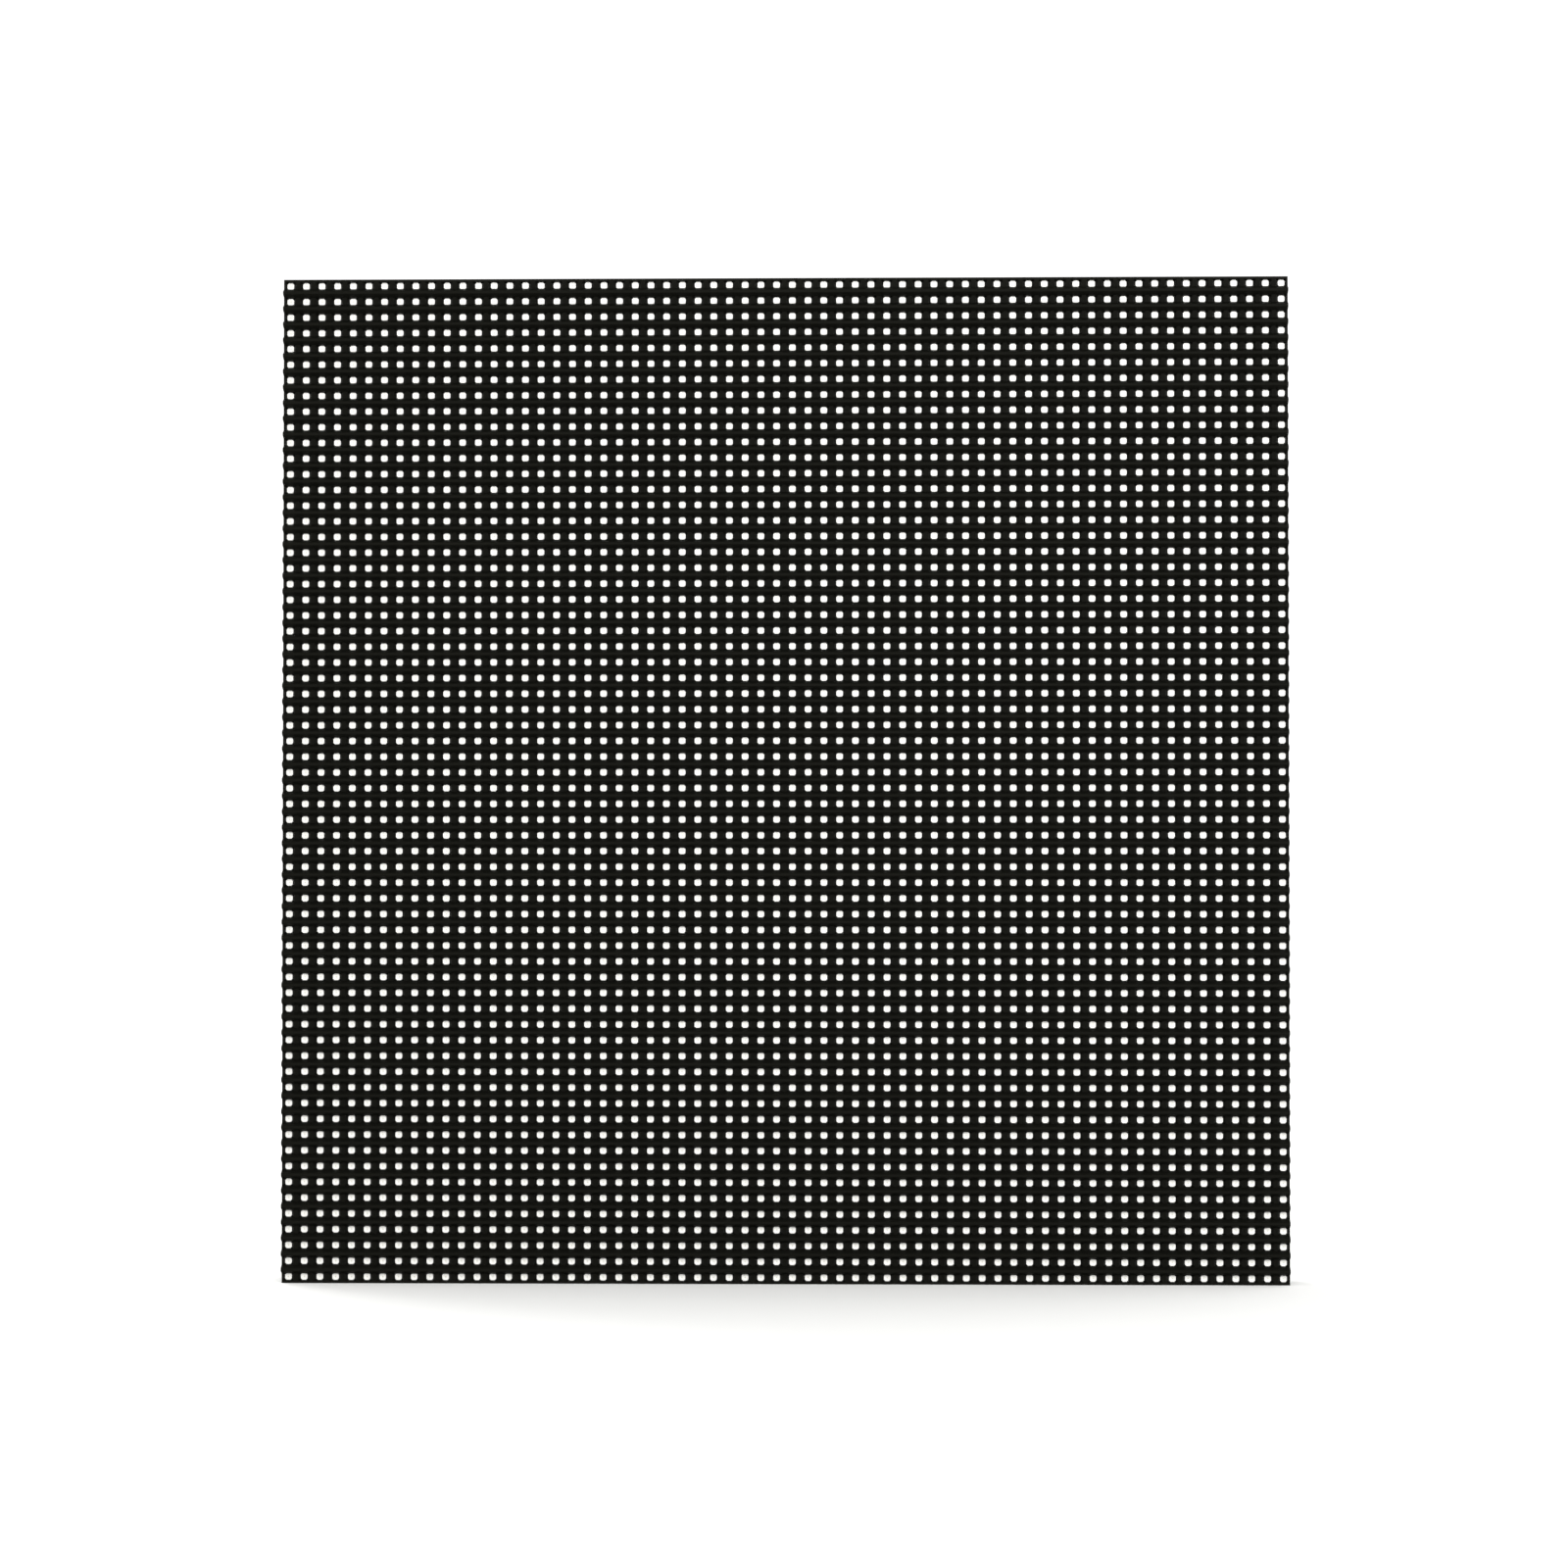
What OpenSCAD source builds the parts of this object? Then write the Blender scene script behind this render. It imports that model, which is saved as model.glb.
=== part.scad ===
// Square LED display module: louvred mask, lamps, circuit board with its drivers and connectors, rear frame.
// The lamps look along -Y, +Z is up, and y = 0 is the plane of the mounting pads, centred on the module.

/* [Module] */
// Width of the module, which an even number of lamps fills
module_w = 192; // [168:6:240]
// Height of the module, which an even number of lamps fills
module_h = 192; // [168:6:240]

/* [Lamp grid] */
// Distance between neighbouring lamps
pitch = 3; // [2.6:0.1:4]
// Side of one square lamp
lamp_size = 1.25; // [1:0.05:1.6]
// Height of a lamp above the board
lamp_h = 1.3; // [0.8:0.05:2]

/* [Mask] */
// Gap between the mask's edge and the edge of the lamp grid
mask_gap = 0.35; // [0.2:0.05:0.5]
// Width of an upright bar at its root, next to the lamps
upright_root_w = 1.6; // [1.3:0.05:1.9]
// Width of an upright bar at its crest
upright_crest_w = 0.8; // [0.5:0.05:1.2]
// Depth of an upright bar
upright_depth = 1; // [0.6:0.1:1.5]
// Height of a louvre's section at its root
louvre_root_h = 1.5; // [1.2:0.05:1.8]
// Height of a louvre's section at its crest
louvre_crest_h = 0.6; // [0.3:0.05:1]
// Depth of a louvre from root to crest
louvre_depth = 1.4; // [0.8:0.1:2]
// How far the rim laps forward over the roots of the louvres
rim_lap = 0.3; // [0.2:0.05:0.6]
// Air between the lamps and the mask
lamp_clear = 0.05; // [0.02:0.01:0.1]
// Air between the upright bars and the louvres, which are one moulding through the rim and the bosses
layer_clear = 0.02; // [0.01:0.01:0.05]
// Diameter of a screw boss behind the mask, between four lamps
boss_d = 2; // [1.8:0.05:2.2]
// Diameter of the pilot hole in a screw boss
pilot_d = 1.2; // [1:0.05:1.4]
// Thickness left over the end of the pilot hole
boss_roof = 0.4; // [0.3:0.05:0.8]

/* [Circuit board] */
// Thickness of the board
board_t = 1.6; // [1:0.1:2.4]
// Gap between the board's edge and the edge of the lamp grid
board_gap = 0.5; // [0.4:0.05:0.7]

/* [Rear frame] */
// Depth of the frame from the board to the mounting plane
frame_depth = 9; // [8.5:0.5:14]
// Gap between the frame's edge and the edge of the lamp grid
frame_gap = 0.7; // [0.5:0.05:1.2]
// Radius of the frame's outer corners
frame_corner_r = 1.5; // [0.5:0.1:3]
// Width of the band round the frame
band_w = 10; // [9:0.5:12]
// Width of the bars between the windows
bar_w = 8; // [7:0.5:10]
// Radius of the window corners
window_r = 3; // [1:0.5:4]
// Thickness of the rear plate of band and bars
back_t = 2; // [1.5:0.1:3]
// Thickness of the outer wall
outer_wall = 1.8; // [1.2:0.1:2.5]
// Thickness of the walls round the windows
window_wall = 1.5; // [1:0.1:2]
// Rise of the pads round inserts and locating pins above the rear plate
pad_rise = 1; // [0.4:0.1:1.5]
// Chamfer on the outer edges of the rear plate
edge_chamfer = 0.8; // [0.3:0.1:1.2]

/* [Fixing to a cabinet] */
// Distance of the threaded inserts from the frame's edges
insert_inset = 5.3; // [5:0.1:6]
// Outside diameter of an insert
insert_d = 4.2; // [3.8:0.1:5]
// Length of an insert
insert_len = 5; // [4:0.5:7]
// Diameter of the threaded hole, over the crests of the thread
insert_bore_d = 2.5; // [2:0.1:3]
// Diameter of the boss round an insert, and of the pad round a locating pin
insert_boss_d = 8; // [7:0.5:9]
// Room under an insert at the end of its socket
socket_spare = 0.5; // [0.2:0.1:1]
// Radial room between an insert and its socket
insert_clear = 0.01; // [0.005:0.005:0.02]
// Diameter of a locating pin
locator_d = 3.8; // [3:0.1:5]
// Reach of a locating pin past the mounting plane
locator_len = 4; // [2:0.5:6]
// Chamfer on the tip of a locating pin
locator_chamfer = 0.5; // [0.2:0.1:1]

/* [Frame screws] */
// Diameter of a screw's shank at the roots of its thread
screw_d = 1.16; // [0.9:0.02:1.16]
// Diameter of a screw's head
screw_head_d = 3; // [2.6:0.1:3.4]
// Height of a screw's head
screw_head_h = 1.1; // [0.8:0.1:1.5]
// Depth of the screws' seats below the mounting plane
screw_recess = 4; // [2:0.5:5]
// Length of thread that bites into the mask
thread_bite = 2; // [1.5:0.1:2.5]
// Pilot hole left beyond the tip of a screw
pilot_spare = 0.3; // [0.1:0.1:0.6]
// Diameter of the screw holes in frame and board
screw_hole_d = 1.9; // [1.7:0.05:2.1]
// Diameter of a screw post in the frame
post_d = 6.4; // [5.5:0.1:7]
// Radial room round a screw's head in its recess
head_clear = 0.3; // [0.1:0.1:0.5]

/* [Driver chips] */
// Height of a chip above the board
chip_h = 1.7; // [1.4:0.1:2.2]
// Air under a chip's body
chip_standoff = 0.1; // [0.05:0.05:0.3]
// Draft of a chip's sides, on each side, from the mould line to top and bottom
chip_draft = 0.12; // [0.05:0.01:0.2]
// Thickness of the lead metal
lead_t = 0.2; // [0.15:0.01:0.25]
// Straight run of a lead before it bends down
lead_shoulder = 0.25; // [0.15:0.05:0.35]
// Length of a column driver's body
column_len = 8.65; // [8:0.05:9]
// Width of a column driver's body
column_w = 3.9; // [3.5:0.1:4.4]
// Width of a column driver over its leads
column_span = 6; // [5.8:0.1:6.4]
// Leads on each side of a column driver
column_leads = 12; // [8:1:12]
// Spacing of a column driver's leads
column_lead_pitch = 0.635; // [0.6:0.005:0.7]
// Width of a column driver's leads
column_lead_w = 0.26; // [0.2:0.01:0.3]
// Length of a scan driver's body
scan_len = 9.9; // [9.6:0.1:10.4]
// Width of a scan driver's body
scan_w = 3.9; // [3.5:0.1:4.4]
// Width of a scan driver over its leads
scan_span = 6; // [5.8:0.1:6.4]
// Leads on each side of a scan driver
scan_leads = 8; // [7:1:8]
// Spacing of a scan driver's leads
scan_lead_pitch = 1.27; // [1.2:0.01:1.27]
// Width of a scan driver's leads
scan_lead_w = 0.42; // [0.35:0.01:0.5]
// Distance between neighbouring scan drivers along the row
scan_step_x = 13; // [12:0.5:14]
// Distance between neighbouring rows of scan drivers
scan_step_z = 13; // [10:0.5:14]
// Gap between the scan drivers and the frame's bar
scan_edge_gap = 3; // [1:0.5:4]
// Length of a buffer's body
buffer_len = 7.2; // [7:0.1:7.6]
// Width of a buffer's body
buffer_w = 5.3; // [5:0.1:5.6]
// Width of a buffer over its leads
buffer_span = 7.8; // [7.6:0.1:8.2]
// Leads on each side of a buffer
buffer_leads = 10; // [8:1:10]
// Spacing of a buffer's leads
buffer_lead_pitch = 0.65; // [0.6:0.01:0.7]
// Width of a buffer's leads
buffer_lead_w = 0.3; // [0.2:0.01:0.34]
// Distance between neighbouring buffers
buffer_step = 13; // [10:0.5:14]
// Gap between the buffers and the frame's bar
buffer_edge_gap = 14; // [8:0.5:16]

/* [Data headers] */
// Pins in each of a header's two rows
header_pins = 8; // [8:1:8]
// Spacing of the pins and of the rows
header_pitch = 2.54; // [2.5:0.01:2.6]
// Side of a square pin
header_pin_w = 0.64; // [0.5:0.02:0.7]
// Length of the shroud
shroud_len = 28; // [27.5:0.1:29]
// Width of the shroud
shroud_w = 8.9; // [8.5:0.1:9.3]
// Height of the shroud above the board
shroud_h = 8.8; // [8.4:0.1:9.4]
// Thickness of the shroud's walls
shroud_wall = 1.2; // [1:0.05:1.3]
// Thickness of the shroud's floor
shroud_floor = 2.4; // [2:0.1:3]
// Width of the key notch in the shroud's wall
key_w = 4.5; // [4:0.1:5]
// Height of the wall left under the key notch
key_sill = 3.6; // [3:0.1:4.5]
// Depth of the pin tips below the shroud's mouth
pin_recess = 1.6; // [1:0.1:2.5]
// Gap between a header and the frame's band
header_edge_gap = 5; // [3:0.5:6]
// Room on each side of a pin in its hole
pin_clear = 0.01; // [0.005:0.005:0.03]

/* [Power connector] */
// Ways of the power connector
power_ways = 4; // [4:1:4]
// Spacing of the power pins
power_pitch = 3.96; // [3.9:0.02:4]
// Side of a square power pin
power_pin_w = 1.1; // [0.9:0.05:1.2]
// Plastic past the outer pins, at each end
power_end = 2; // [1.5:0.1:2.5]
// Depth of the connector's base, across the row of pins
power_base_w = 8; // [7:0.1:9]
// Height of the connector's base
power_base_h = 3.2; // [2.6:0.1:4]
// Height of the connector's latch wall above the board
power_wall_h = 8.6; // [7.5:0.1:9]
// Thickness of the latch wall
power_wall_t = 1.2; // [1:0.1:1.6]
// Width of the slots on both sides of the latch
latch_slot_w = 1; // [0.6:0.1:1.4]
// Width of the latch tongue
latch_w = 5; // [4:0.1:6]
// Height of the power pins above the board
power_pin_h = 8; // [7:0.1:8.8]

/* [Capacitors and resistors] */
// Diameter of a capacitor can
can_d = 6.3; // [5:0.1:7]
// Height of a capacitor above the board
can_h = 7.7; // [5.4:0.1:8.5]
// Radius on the rim of a can's top
can_round = 0.5; // [0.3:0.1:0.8]
// Depth of the crimp round a can
can_crimp = 0.3; // [0.2:0.05:0.5]
// Height of the crimp above a can's base
can_crimp_at = 1.5; // [1.2:0.1:2]
// Side of a can's square base
can_base_w = 6.6; // [6.2:0.1:7.4]
// Height of a can's base
can_base_h = 1; // [0.6:0.1:1.4]
// Chamfer on the two marked corners of a can's base
can_base_chamfer = 1.4; // [1:0.1:1.8]
// Width of the flat leads under a can's base
can_lead_w = 0.65; // [0.5:0.05:1]
// Thickness of a can's leads
can_lead_t = 0.2; // [0.15:0.01:0.3]
// Reach of a can's leads past its base
can_lead_out = 0.35; // [0.2:0.05:0.6]
// Distance of the cans from the module's upright centre line
can_x = 18; // [15:0.5:20]
// Distance of the cans from the module's level centre line
can_z = 14; // [10:0.5:18]
// Length of a chip capacitor or resistor
chip_part_len = 1.6; // [1.2:0.1:2]
// Width of a chip capacitor or resistor
chip_part_w = 0.8; // [0.6:0.1:1.2]
// Height of a chip capacitor
ceramic_h = 0.8; // [0.6:0.1:1]
// Height of a chip resistor
resistor_h = 0.45; // [0.3:0.05:0.6]
// Gap between a chip part and the driver it serves
chip_part_gap = 1; // [0.6:0.1:1.2]
// Resistors in the row beside the data input
line_resistors = 12; // [8:1:14]
// Spacing of the resistors in that row
line_step = 2; // [1.6:0.1:2.4]
// Gap between the data input header and the row of resistors
line_gap = 2; // [1.5:0.1:3]

/* [Hidden] */
$fn = 48;
// Overlap of a cut past the face it opens, and of fused pieces into each other
eps = 0.1;

// An even number of lamps, the one that comes closest to the module's size
lamps_across = 2 * round(module_w / pitch / 2);
lamps_up = 2 * round(module_h / pitch / 2);

// Faces of the layers along y, from the mounting plane forward
plate_y = -pad_rise;
board_rear_y = -frame_depth;
board_front_y = board_rear_y - board_t;
lamp_top_y = board_front_y - lamp_h;
upright_root_y = lamp_top_y - lamp_clear;
upright_crest_y = upright_root_y - upright_depth;
louvre_root_y = upright_crest_y - layer_clear;
louvre_crest_y = louvre_root_y - louvre_depth;
rim_front_y = louvre_root_y - rim_lap;

// Outlines, as half widths along x and half heights along z
grid_half = [lamps_across, lamps_up] * pitch / 2;
lamp_edge = grid_half - [1, 1] * (pitch - lamp_size) / 2;
mask_half = grid_half - [1, 1] * mask_gap;
rim_inner_half = lamp_edge + [1, 1] * lamp_clear;
board_half = grid_half - [1, 1] * board_gap;
frame_half = grid_half - [1, 1] * frame_gap;
window_out = frame_half - [1, 1] * band_w;

// The bars and the band's screws lie on lamp-grid lines, so that every screw comes out between four lamps
windows_across = 3;
bar_at = [for (n = [lamps_across, lamps_up]) round(n / windows_across / 2) * pitch];
band_screw_at = [for (a = [0, 1]) floor((frame_half[a] - band_w / 2) / pitch) * pitch];
screw_places = concat(
    [for (sx = [-1, 1], sz = [-1, 1]) [sx * bar_at.x, sz * bar_at.y]],
    [for (sx = [-1, 1], sz = [-1, 1]) [sx * bar_at.x, sz * band_screw_at.y]],
    [for (sx = [-1, 1], sz = [-1, 1]) [sx * band_screw_at.x, sz * bar_at.y]]);

// Threaded inserts in the four corners and in the middle of the top and bottom band, pins at both sides
insert_at = frame_half - [1, 1] * insert_inset;
insert_places = concat(
    [for (sx = [-1, 1], sz = [-1, 1]) [sx * insert_at.x, sz * insert_at.y]],
    [for (sz = [-1, 1]) [0, sz * insert_at.y]]);
locator_places = [for (sx = [-1, 1]) [sx * insert_at.x, 0]];

// Low and high edges of the three columns and the three rows of windows
window_spans = [for (a = [0, 1]) [
    [-window_out[a], -bar_at[a] - bar_w / 2],
    [-bar_at[a] + bar_w / 2, bar_at[a] - bar_w / 2],
    [bar_at[a] + bar_w / 2, window_out[a]]]];

// Four column drivers, two by two, in each window of the top and bottom rows
drivers_a_side = 2;
column_places = [for (row = [2, 0], win = [0:windows_across - 1], j = [1, 0], i = [0, 1]) [
    spread(window_spans.x[win], i, drivers_a_side),
    spread(window_spans.y[row], j, drivers_a_side)]];

// Scan drivers two by four beside the output header, buffers in a column beside the input header
rows_of_four = [-1.5, -0.5, 0.5, 1.5];
scan_first_x = bar_at.x + bar_w / 2 + scan_edge_gap + scan_len / 2;
scan_places = [for (i = [0, 1], j = rows_of_four) [scan_first_x + i * scan_step_x, j * scan_step_z]];
buffer_x = -(bar_at.x + bar_w / 2 + buffer_edge_gap + buffer_len / 2);
buffer_places = [for (j = rows_of_four) [buffer_x, j * buffer_step]];
header_x = window_out.x - header_edge_gap - shroud_w / 2;
can_places = [for (sx = [-1, 1], sz = [-1, 1]) [sx * can_x, sz * can_z]];

// Chip parts lie off one end of the body that they serve, across its length
column_part_off = column_len / 2 + chip_part_gap + chip_part_w / 2;
scan_part_off = scan_len / 2 + chip_part_gap + chip_part_w / 2;
buffer_part_off = buffer_len / 2 + chip_part_gap + chip_part_w / 2;
line_resistor_x = -header_x + shroud_w / 2 + line_gap + chip_part_len / 2;

socket_depth = insert_len + socket_spare;
pilot_depth = thread_bite + pilot_spare;
boss_h = pilot_depth + boss_roof;
power_len = (power_ways - 1) * power_pitch + 2 * power_end;

function middle(span) = (span[0] + span[1]) / 2;
function spread(span, i, n) = span[0] + (span[1] - span[0]) * (i + 0.5) / n;
function two_digits(n) = str(n < 10 ? "0" : "", n);

column_nodes = [for (i = [1:len(column_places)]) str("column_driver_", two_digits(i))];
scan_nodes = [for (i = [1:len(scan_places)]) str("scan_driver_", i)];
buffer_nodes = [for (i = [1:len(buffer_places)]) str("buffer_", i)];
can_nodes = [for (i = [1:len(can_places)]) str("reservoir_capacitor_", i)];

// Puts a flat outline, drawn as x and z, at depth y and extrudes it towards +Y
module slab(y, depth) {
    translate([0, y + depth, 0])
        rotate([90, 0, 0])
            linear_extrude(depth)
                children();
}

// A box between two depths, as half sizes about the middle of the module
module layer_box(half, front_y, rear_y) {
    translate([-half.x, front_y, -half.y])
        cube([2 * half.x, rear_y - front_y, 2 * half.y]);
}

// A round bar along +Y at a place on the module's face
module peg(at, y, d, len) {
    translate([at.x, y, at.y])
        rotate([-90, 0, 0])
            cylinder(d = d, h = len);
}

// Sets a piece that is drawn standing on z = 0 on the rear of the board, turned about its own upright
module on_board(at, turn = 0) {
    translate([at.x, board_rear_y, at.y])
        rotate([-90, 0, 0])
            rotate([0, 0, turn])
                children();
}

module rounded_rectangle(w, h, r) {
    square([w - 2 * r, h], center = true);
    square([w, h - 2 * r], center = true);
    for (sx = [-1, 1], sy = [-1, 1])
        translate([sx * (w / 2 - r), sy * (h / 2 - r)])
            circle(r);
}

// A bar of tapered section along x: section height across z, root behind and crest in front
module tapered_bar(half_len, root_y, root_w, crest_y, crest_w) {
    section = [
        [root_y, -root_w / 2],
        [root_y, root_w / 2],
        [crest_y, crest_w / 2],
        [crest_y, -crest_w / 2]];
    translate([-half_len, 0, 0])
        rotate([90, 0, 90])
            linear_extrude(2 * half_len)
                polygon(section);
}

module mask_rim() {
    difference() {
        layer_box(mask_half, rim_front_y, board_front_y);
        layer_box(rim_inner_half, rim_front_y - eps, board_front_y + eps);
    }
}

// An upright bar on the middle line, close in front of the lamps
module upright_bar() {
    rotate([0, 90, 0])
        tapered_bar(mask_half.y, upright_root_y, upright_root_w, upright_crest_y, upright_crest_w);
}

// A louvre on the middle line, in front of the upright bars
module louvre() {
    tapered_bar(mask_half.x, louvre_root_y, louvre_root_h, louvre_crest_y, louvre_crest_h);
}

// One moulding: a rim, upright bars, taller louvres across them, and screw bosses between four lamps
module face_mask() {
    color("#1c1c18")
        difference() {
            union() {
                mask_rim();
                for (i = [1:lamps_across - 1])
                    translate([(i - lamps_across / 2) * pitch, 0, 0])
                        upright_bar();
                for (j = [1:lamps_up - 1])
                    translate([0, 0, (j - lamps_up / 2) * pitch])
                        louvre();
                for (at = screw_places)
                    peg(at, board_front_y - boss_h, boss_d, boss_h);
            }
            for (at = screw_places)
                peg(at, board_front_y - pilot_depth, pilot_d, pilot_depth + eps);
        }
}

// The lamps of each row, joined into one strip, which gives way to the mask's bosses
module led_lamps() {
    color("#f7f6f0")
        difference() {
            for (j = [0:lamps_up - 1])
                translate([-lamp_edge.x, lamp_top_y, (j + 0.5 - lamps_up / 2) * pitch - lamp_size / 2])
                    cube([2 * lamp_edge.x, lamp_h, lamp_size]);
            for (at = screw_places)
                peg(at, lamp_top_y - eps, boss_d + 2 * lamp_clear, lamp_h + 2 * eps);
        }
}

module circuit_board() {
    color("#161a18")
        difference() {
            layer_box(board_half, board_front_y, board_rear_y);
            for (at = screw_places)
                peg(at, board_front_y - eps, screw_hole_d, board_t + 2 * eps);
        }
}

// The hollow of the band and the bars, open towards the board
module frame_hollow() {
    outer = frame_half - [1, 1] * outer_wall;
    inner = window_out + [1, 1] * window_wall;
    bar_hollow = bar_w / 2 - window_wall;
    slab(board_rear_y - eps, plate_y - back_t - board_rear_y + eps) {
        difference() {
            square(2 * outer, center = true);
            square(2 * inner, center = true);
        }
        for (s = [-1, 1]) {
            translate([s * bar_at.x, 0])
                square([2 * bar_hollow, 2 * outer.y], center = true);
            translate([0, s * bar_at.y])
                square([2 * outer.x, 2 * bar_hollow], center = true);
        }
    }
}

module frame_windows() {
    for (sx = window_spans.x, sz = window_spans.y)
        translate([middle(sx), 0, middle(sz)])
            slab(board_rear_y - eps, frame_depth + 2 * eps)
                rounded_rectangle(sx[1] - sx[0], sz[1] - sz[0], window_r);
}

// A wedge along x that takes the chamfer off the edge of the rear plate at a height above the middle
module edge_wedge(half, len) {
    section = [
        [plate_y + eps, half - edge_chamfer - eps],
        [plate_y + eps, half + eps],
        [plate_y - edge_chamfer - eps, half + eps]];
    translate([-len / 2, 0, 0])
        rotate([90, 0, 90])
            linear_extrude(len)
                polygon(section);
}

module edge_wedges() {
    for (turn = [0, 180]) {
        rotate([0, turn, 0])
            edge_wedge(frame_half.y, 2 * frame_half.x + 2 * eps);
        rotate([0, turn + 90, 0])
            edge_wedge(frame_half.x, 2 * frame_half.y + 2 * eps);
    }
}

// A pad on the rear plate and, out of it, a pin with a chamfered tip
module locating_pin(at) {
    peg(at, plate_y - back_t, insert_boss_d, back_t + pad_rise);
    peg(at, -pad_rise, locator_d, pad_rise + locator_len - locator_chamfer);
    translate([at.x, locator_len - locator_chamfer, at.y])
        rotate([-90, 0, 0])
            cylinder(d1 = locator_d, d2 = locator_d - 2 * locator_chamfer, h = locator_chamfer);
}

// One moulding: channel-section band and bars round nine windows, with bosses, posts and locating pins
module back_frame() {
    color("#1a1a1a")
        difference() {
            union() {
                difference() {
                    slab(board_rear_y, plate_y - board_rear_y)
                        rounded_rectangle(2 * frame_half.x, 2 * frame_half.y, frame_corner_r);
                    frame_windows();
                    frame_hollow();
                    edge_wedges();
                }
                for (at = screw_places)
                    peg(at, board_rear_y, post_d, plate_y - board_rear_y);
                for (at = insert_places)
                    peg(at, board_rear_y, insert_boss_d, frame_depth);
                for (at = locator_places)
                    locating_pin(at);
            }
            for (at = screw_places) {
                peg(at, board_rear_y - eps, screw_hole_d, frame_depth);
                peg(at, -screw_recess, screw_head_d + 2 * head_clear, screw_recess + eps);
            }
            for (at = insert_places)
                peg(at, -socket_depth, insert_d + 2 * insert_clear, socket_depth + eps);
        }
}

// Inserts flush with the mounting plane
module mounting_inserts() {
    color("#c9a24b")
        for (at = insert_places)
            difference() {
                peg(at, -insert_len, insert_d, insert_len);
                peg(at, -insert_len - eps, insert_bore_d, insert_len + 2 * eps);
            }
}

// Pan-head screws seated in the posts' recesses, biting into the mask's bosses
module frame_screws() {
    tip_y = board_front_y - thread_bite;
    color("#8d8f92")
        for (at = screw_places) {
            peg(at, tip_y, screw_d, -screw_recess - tip_y + eps);
            peg(at, -screw_recess, screw_head_d, screw_head_h);
        }
}

// A chip's leads bend down from the mould line and out to a foot on the board
module chip_leads(w, span, count, step, lead_w) {
    line_z = (chip_h + chip_standoff) / 2;
    knee = w / 2 + lead_shoulder;
    root = w / 2 - chip_draft;
    profile = [
        [root, line_z],
        [knee, line_z],
        [knee, 0],
        [span / 2, 0],
        [span / 2, lead_t],
        [knee + lead_t, lead_t],
        [knee + lead_t, line_z + lead_t],
        [root, line_z + lead_t]];
    for (i = [0:count - 1], side = [0, 180])
        rotate([0, 0, side])
            translate([(i - (count - 1) / 2) * step - lead_w / 2, 0, 0])
                rotate([90, 0, 90])
                    linear_extrude(lead_w)
                        polygon(profile);
}

// A small-outline chip, long side along x, with its sides drafted from the mould line
module chip(len, w, span, count, step, lead_w) {
    line_z = (chip_h + chip_standoff) / 2;
    section = [
        [-w / 2 + chip_draft, chip_standoff],
        [w / 2 - chip_draft, chip_standoff],
        [w / 2, line_z],
        [w / 2, line_z + lead_t],
        [w / 2 - chip_draft, chip_h],
        [-w / 2 + chip_draft, chip_h],
        [-w / 2, line_z + lead_t],
        [-w / 2, line_z]];
    translate([-len / 2, 0, 0])
        rotate([90, 0, 90])
            linear_extrude(len)
                polygon(section);
    chip_leads(w, span, count, step, lead_w);
}

module column_driver(at) {
    color("#2a2a2c")
        on_board(at, 90)
            chip(column_len, column_w, column_span, column_leads, column_lead_pitch, column_lead_w);
}

module scan_driver(at) {
    color("#2a2a2c")
        on_board(at)
            chip(scan_len, scan_w, scan_span, scan_leads, scan_lead_pitch, scan_lead_w);
}

module buffer(at) {
    color("#2a2a2c")
        on_board(at)
            chip(buffer_len, buffer_w, buffer_span, buffer_leads, buffer_lead_pitch, buffer_lead_w);
}

// Puts a shape at each pin of a header, two rows along x
module at_header_pins() {
    for (i = [0:header_pins - 1], row = [-0.5, 0.5])
        translate([(i - (header_pins - 1) / 2) * header_pitch, row * header_pitch, 0])
            children();
}

module square_post(w, z, h) {
    translate([-w / 2, -w / 2, z])
        cube([w, w, h]);
}

// Open box with a floor, a key notch in one long wall and a hole for each pin
module header_shroud() {
    difference() {
        translate([-shroud_len / 2, -shroud_w / 2, 0])
            cube([shroud_len, shroud_w, shroud_h]);
        translate([shroud_wall - shroud_len / 2, shroud_wall - shroud_w / 2, shroud_floor])
            cube([shroud_len - 2 * shroud_wall, shroud_w - 2 * shroud_wall, shroud_h]);
        translate([-key_w / 2, -shroud_w / 2 - eps, key_sill])
            cube([key_w, shroud_wall + 2 * eps, shroud_h]);
        at_header_pins()
            square_post(header_pin_w + 2 * pin_clear, -eps, shroud_floor + 2 * eps);
    }
}

module header_pin_set() {
    at_header_pins()
        square_post(header_pin_w, 0, shroud_h - pin_recess);
}

module data_in_header() {
    color("#202020")
        on_board([-header_x, 0], 90)
            header_shroud();
}

module data_in_pins() {
    color("#d8b45a")
        on_board([-header_x, 0], 90)
            header_pin_set();
}

module data_out_header() {
    color("#202020")
        on_board([header_x, 0], 90)
            header_shroud();
}

module data_out_pins() {
    color("#d8b45a")
        on_board([header_x, 0], 90)
            header_pin_set();
}

module at_power_pins() {
    for (i = [0:power_ways - 1])
        translate([(i - (power_ways - 1) / 2) * power_pitch, 0, 0])
            children();
}

// Base with a hole for each pin and, along one side, a wall slit on both sides of its latch tongue
module power_socket() {
    color("#ece8dc")
        on_board([0, 0])
            difference() {
                union() {
                    translate([-power_len / 2, -power_base_w / 2, 0])
                        cube([power_len, power_base_w, power_base_h]);
                    translate([-power_len / 2, power_base_w / 2 - power_wall_t, 0])
                        cube([power_len, power_wall_t, power_wall_h]);
                }
                for (side = [-1, 1])
                    translate([side * (latch_w + latch_slot_w) / 2 - latch_slot_w / 2, 0, power_base_h])
                        cube([latch_slot_w, power_base_w, power_wall_h]);
                at_power_pins()
                    square_post(power_pin_w + 2 * pin_clear, -eps, power_base_h + 2 * eps);
            }
}

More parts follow.
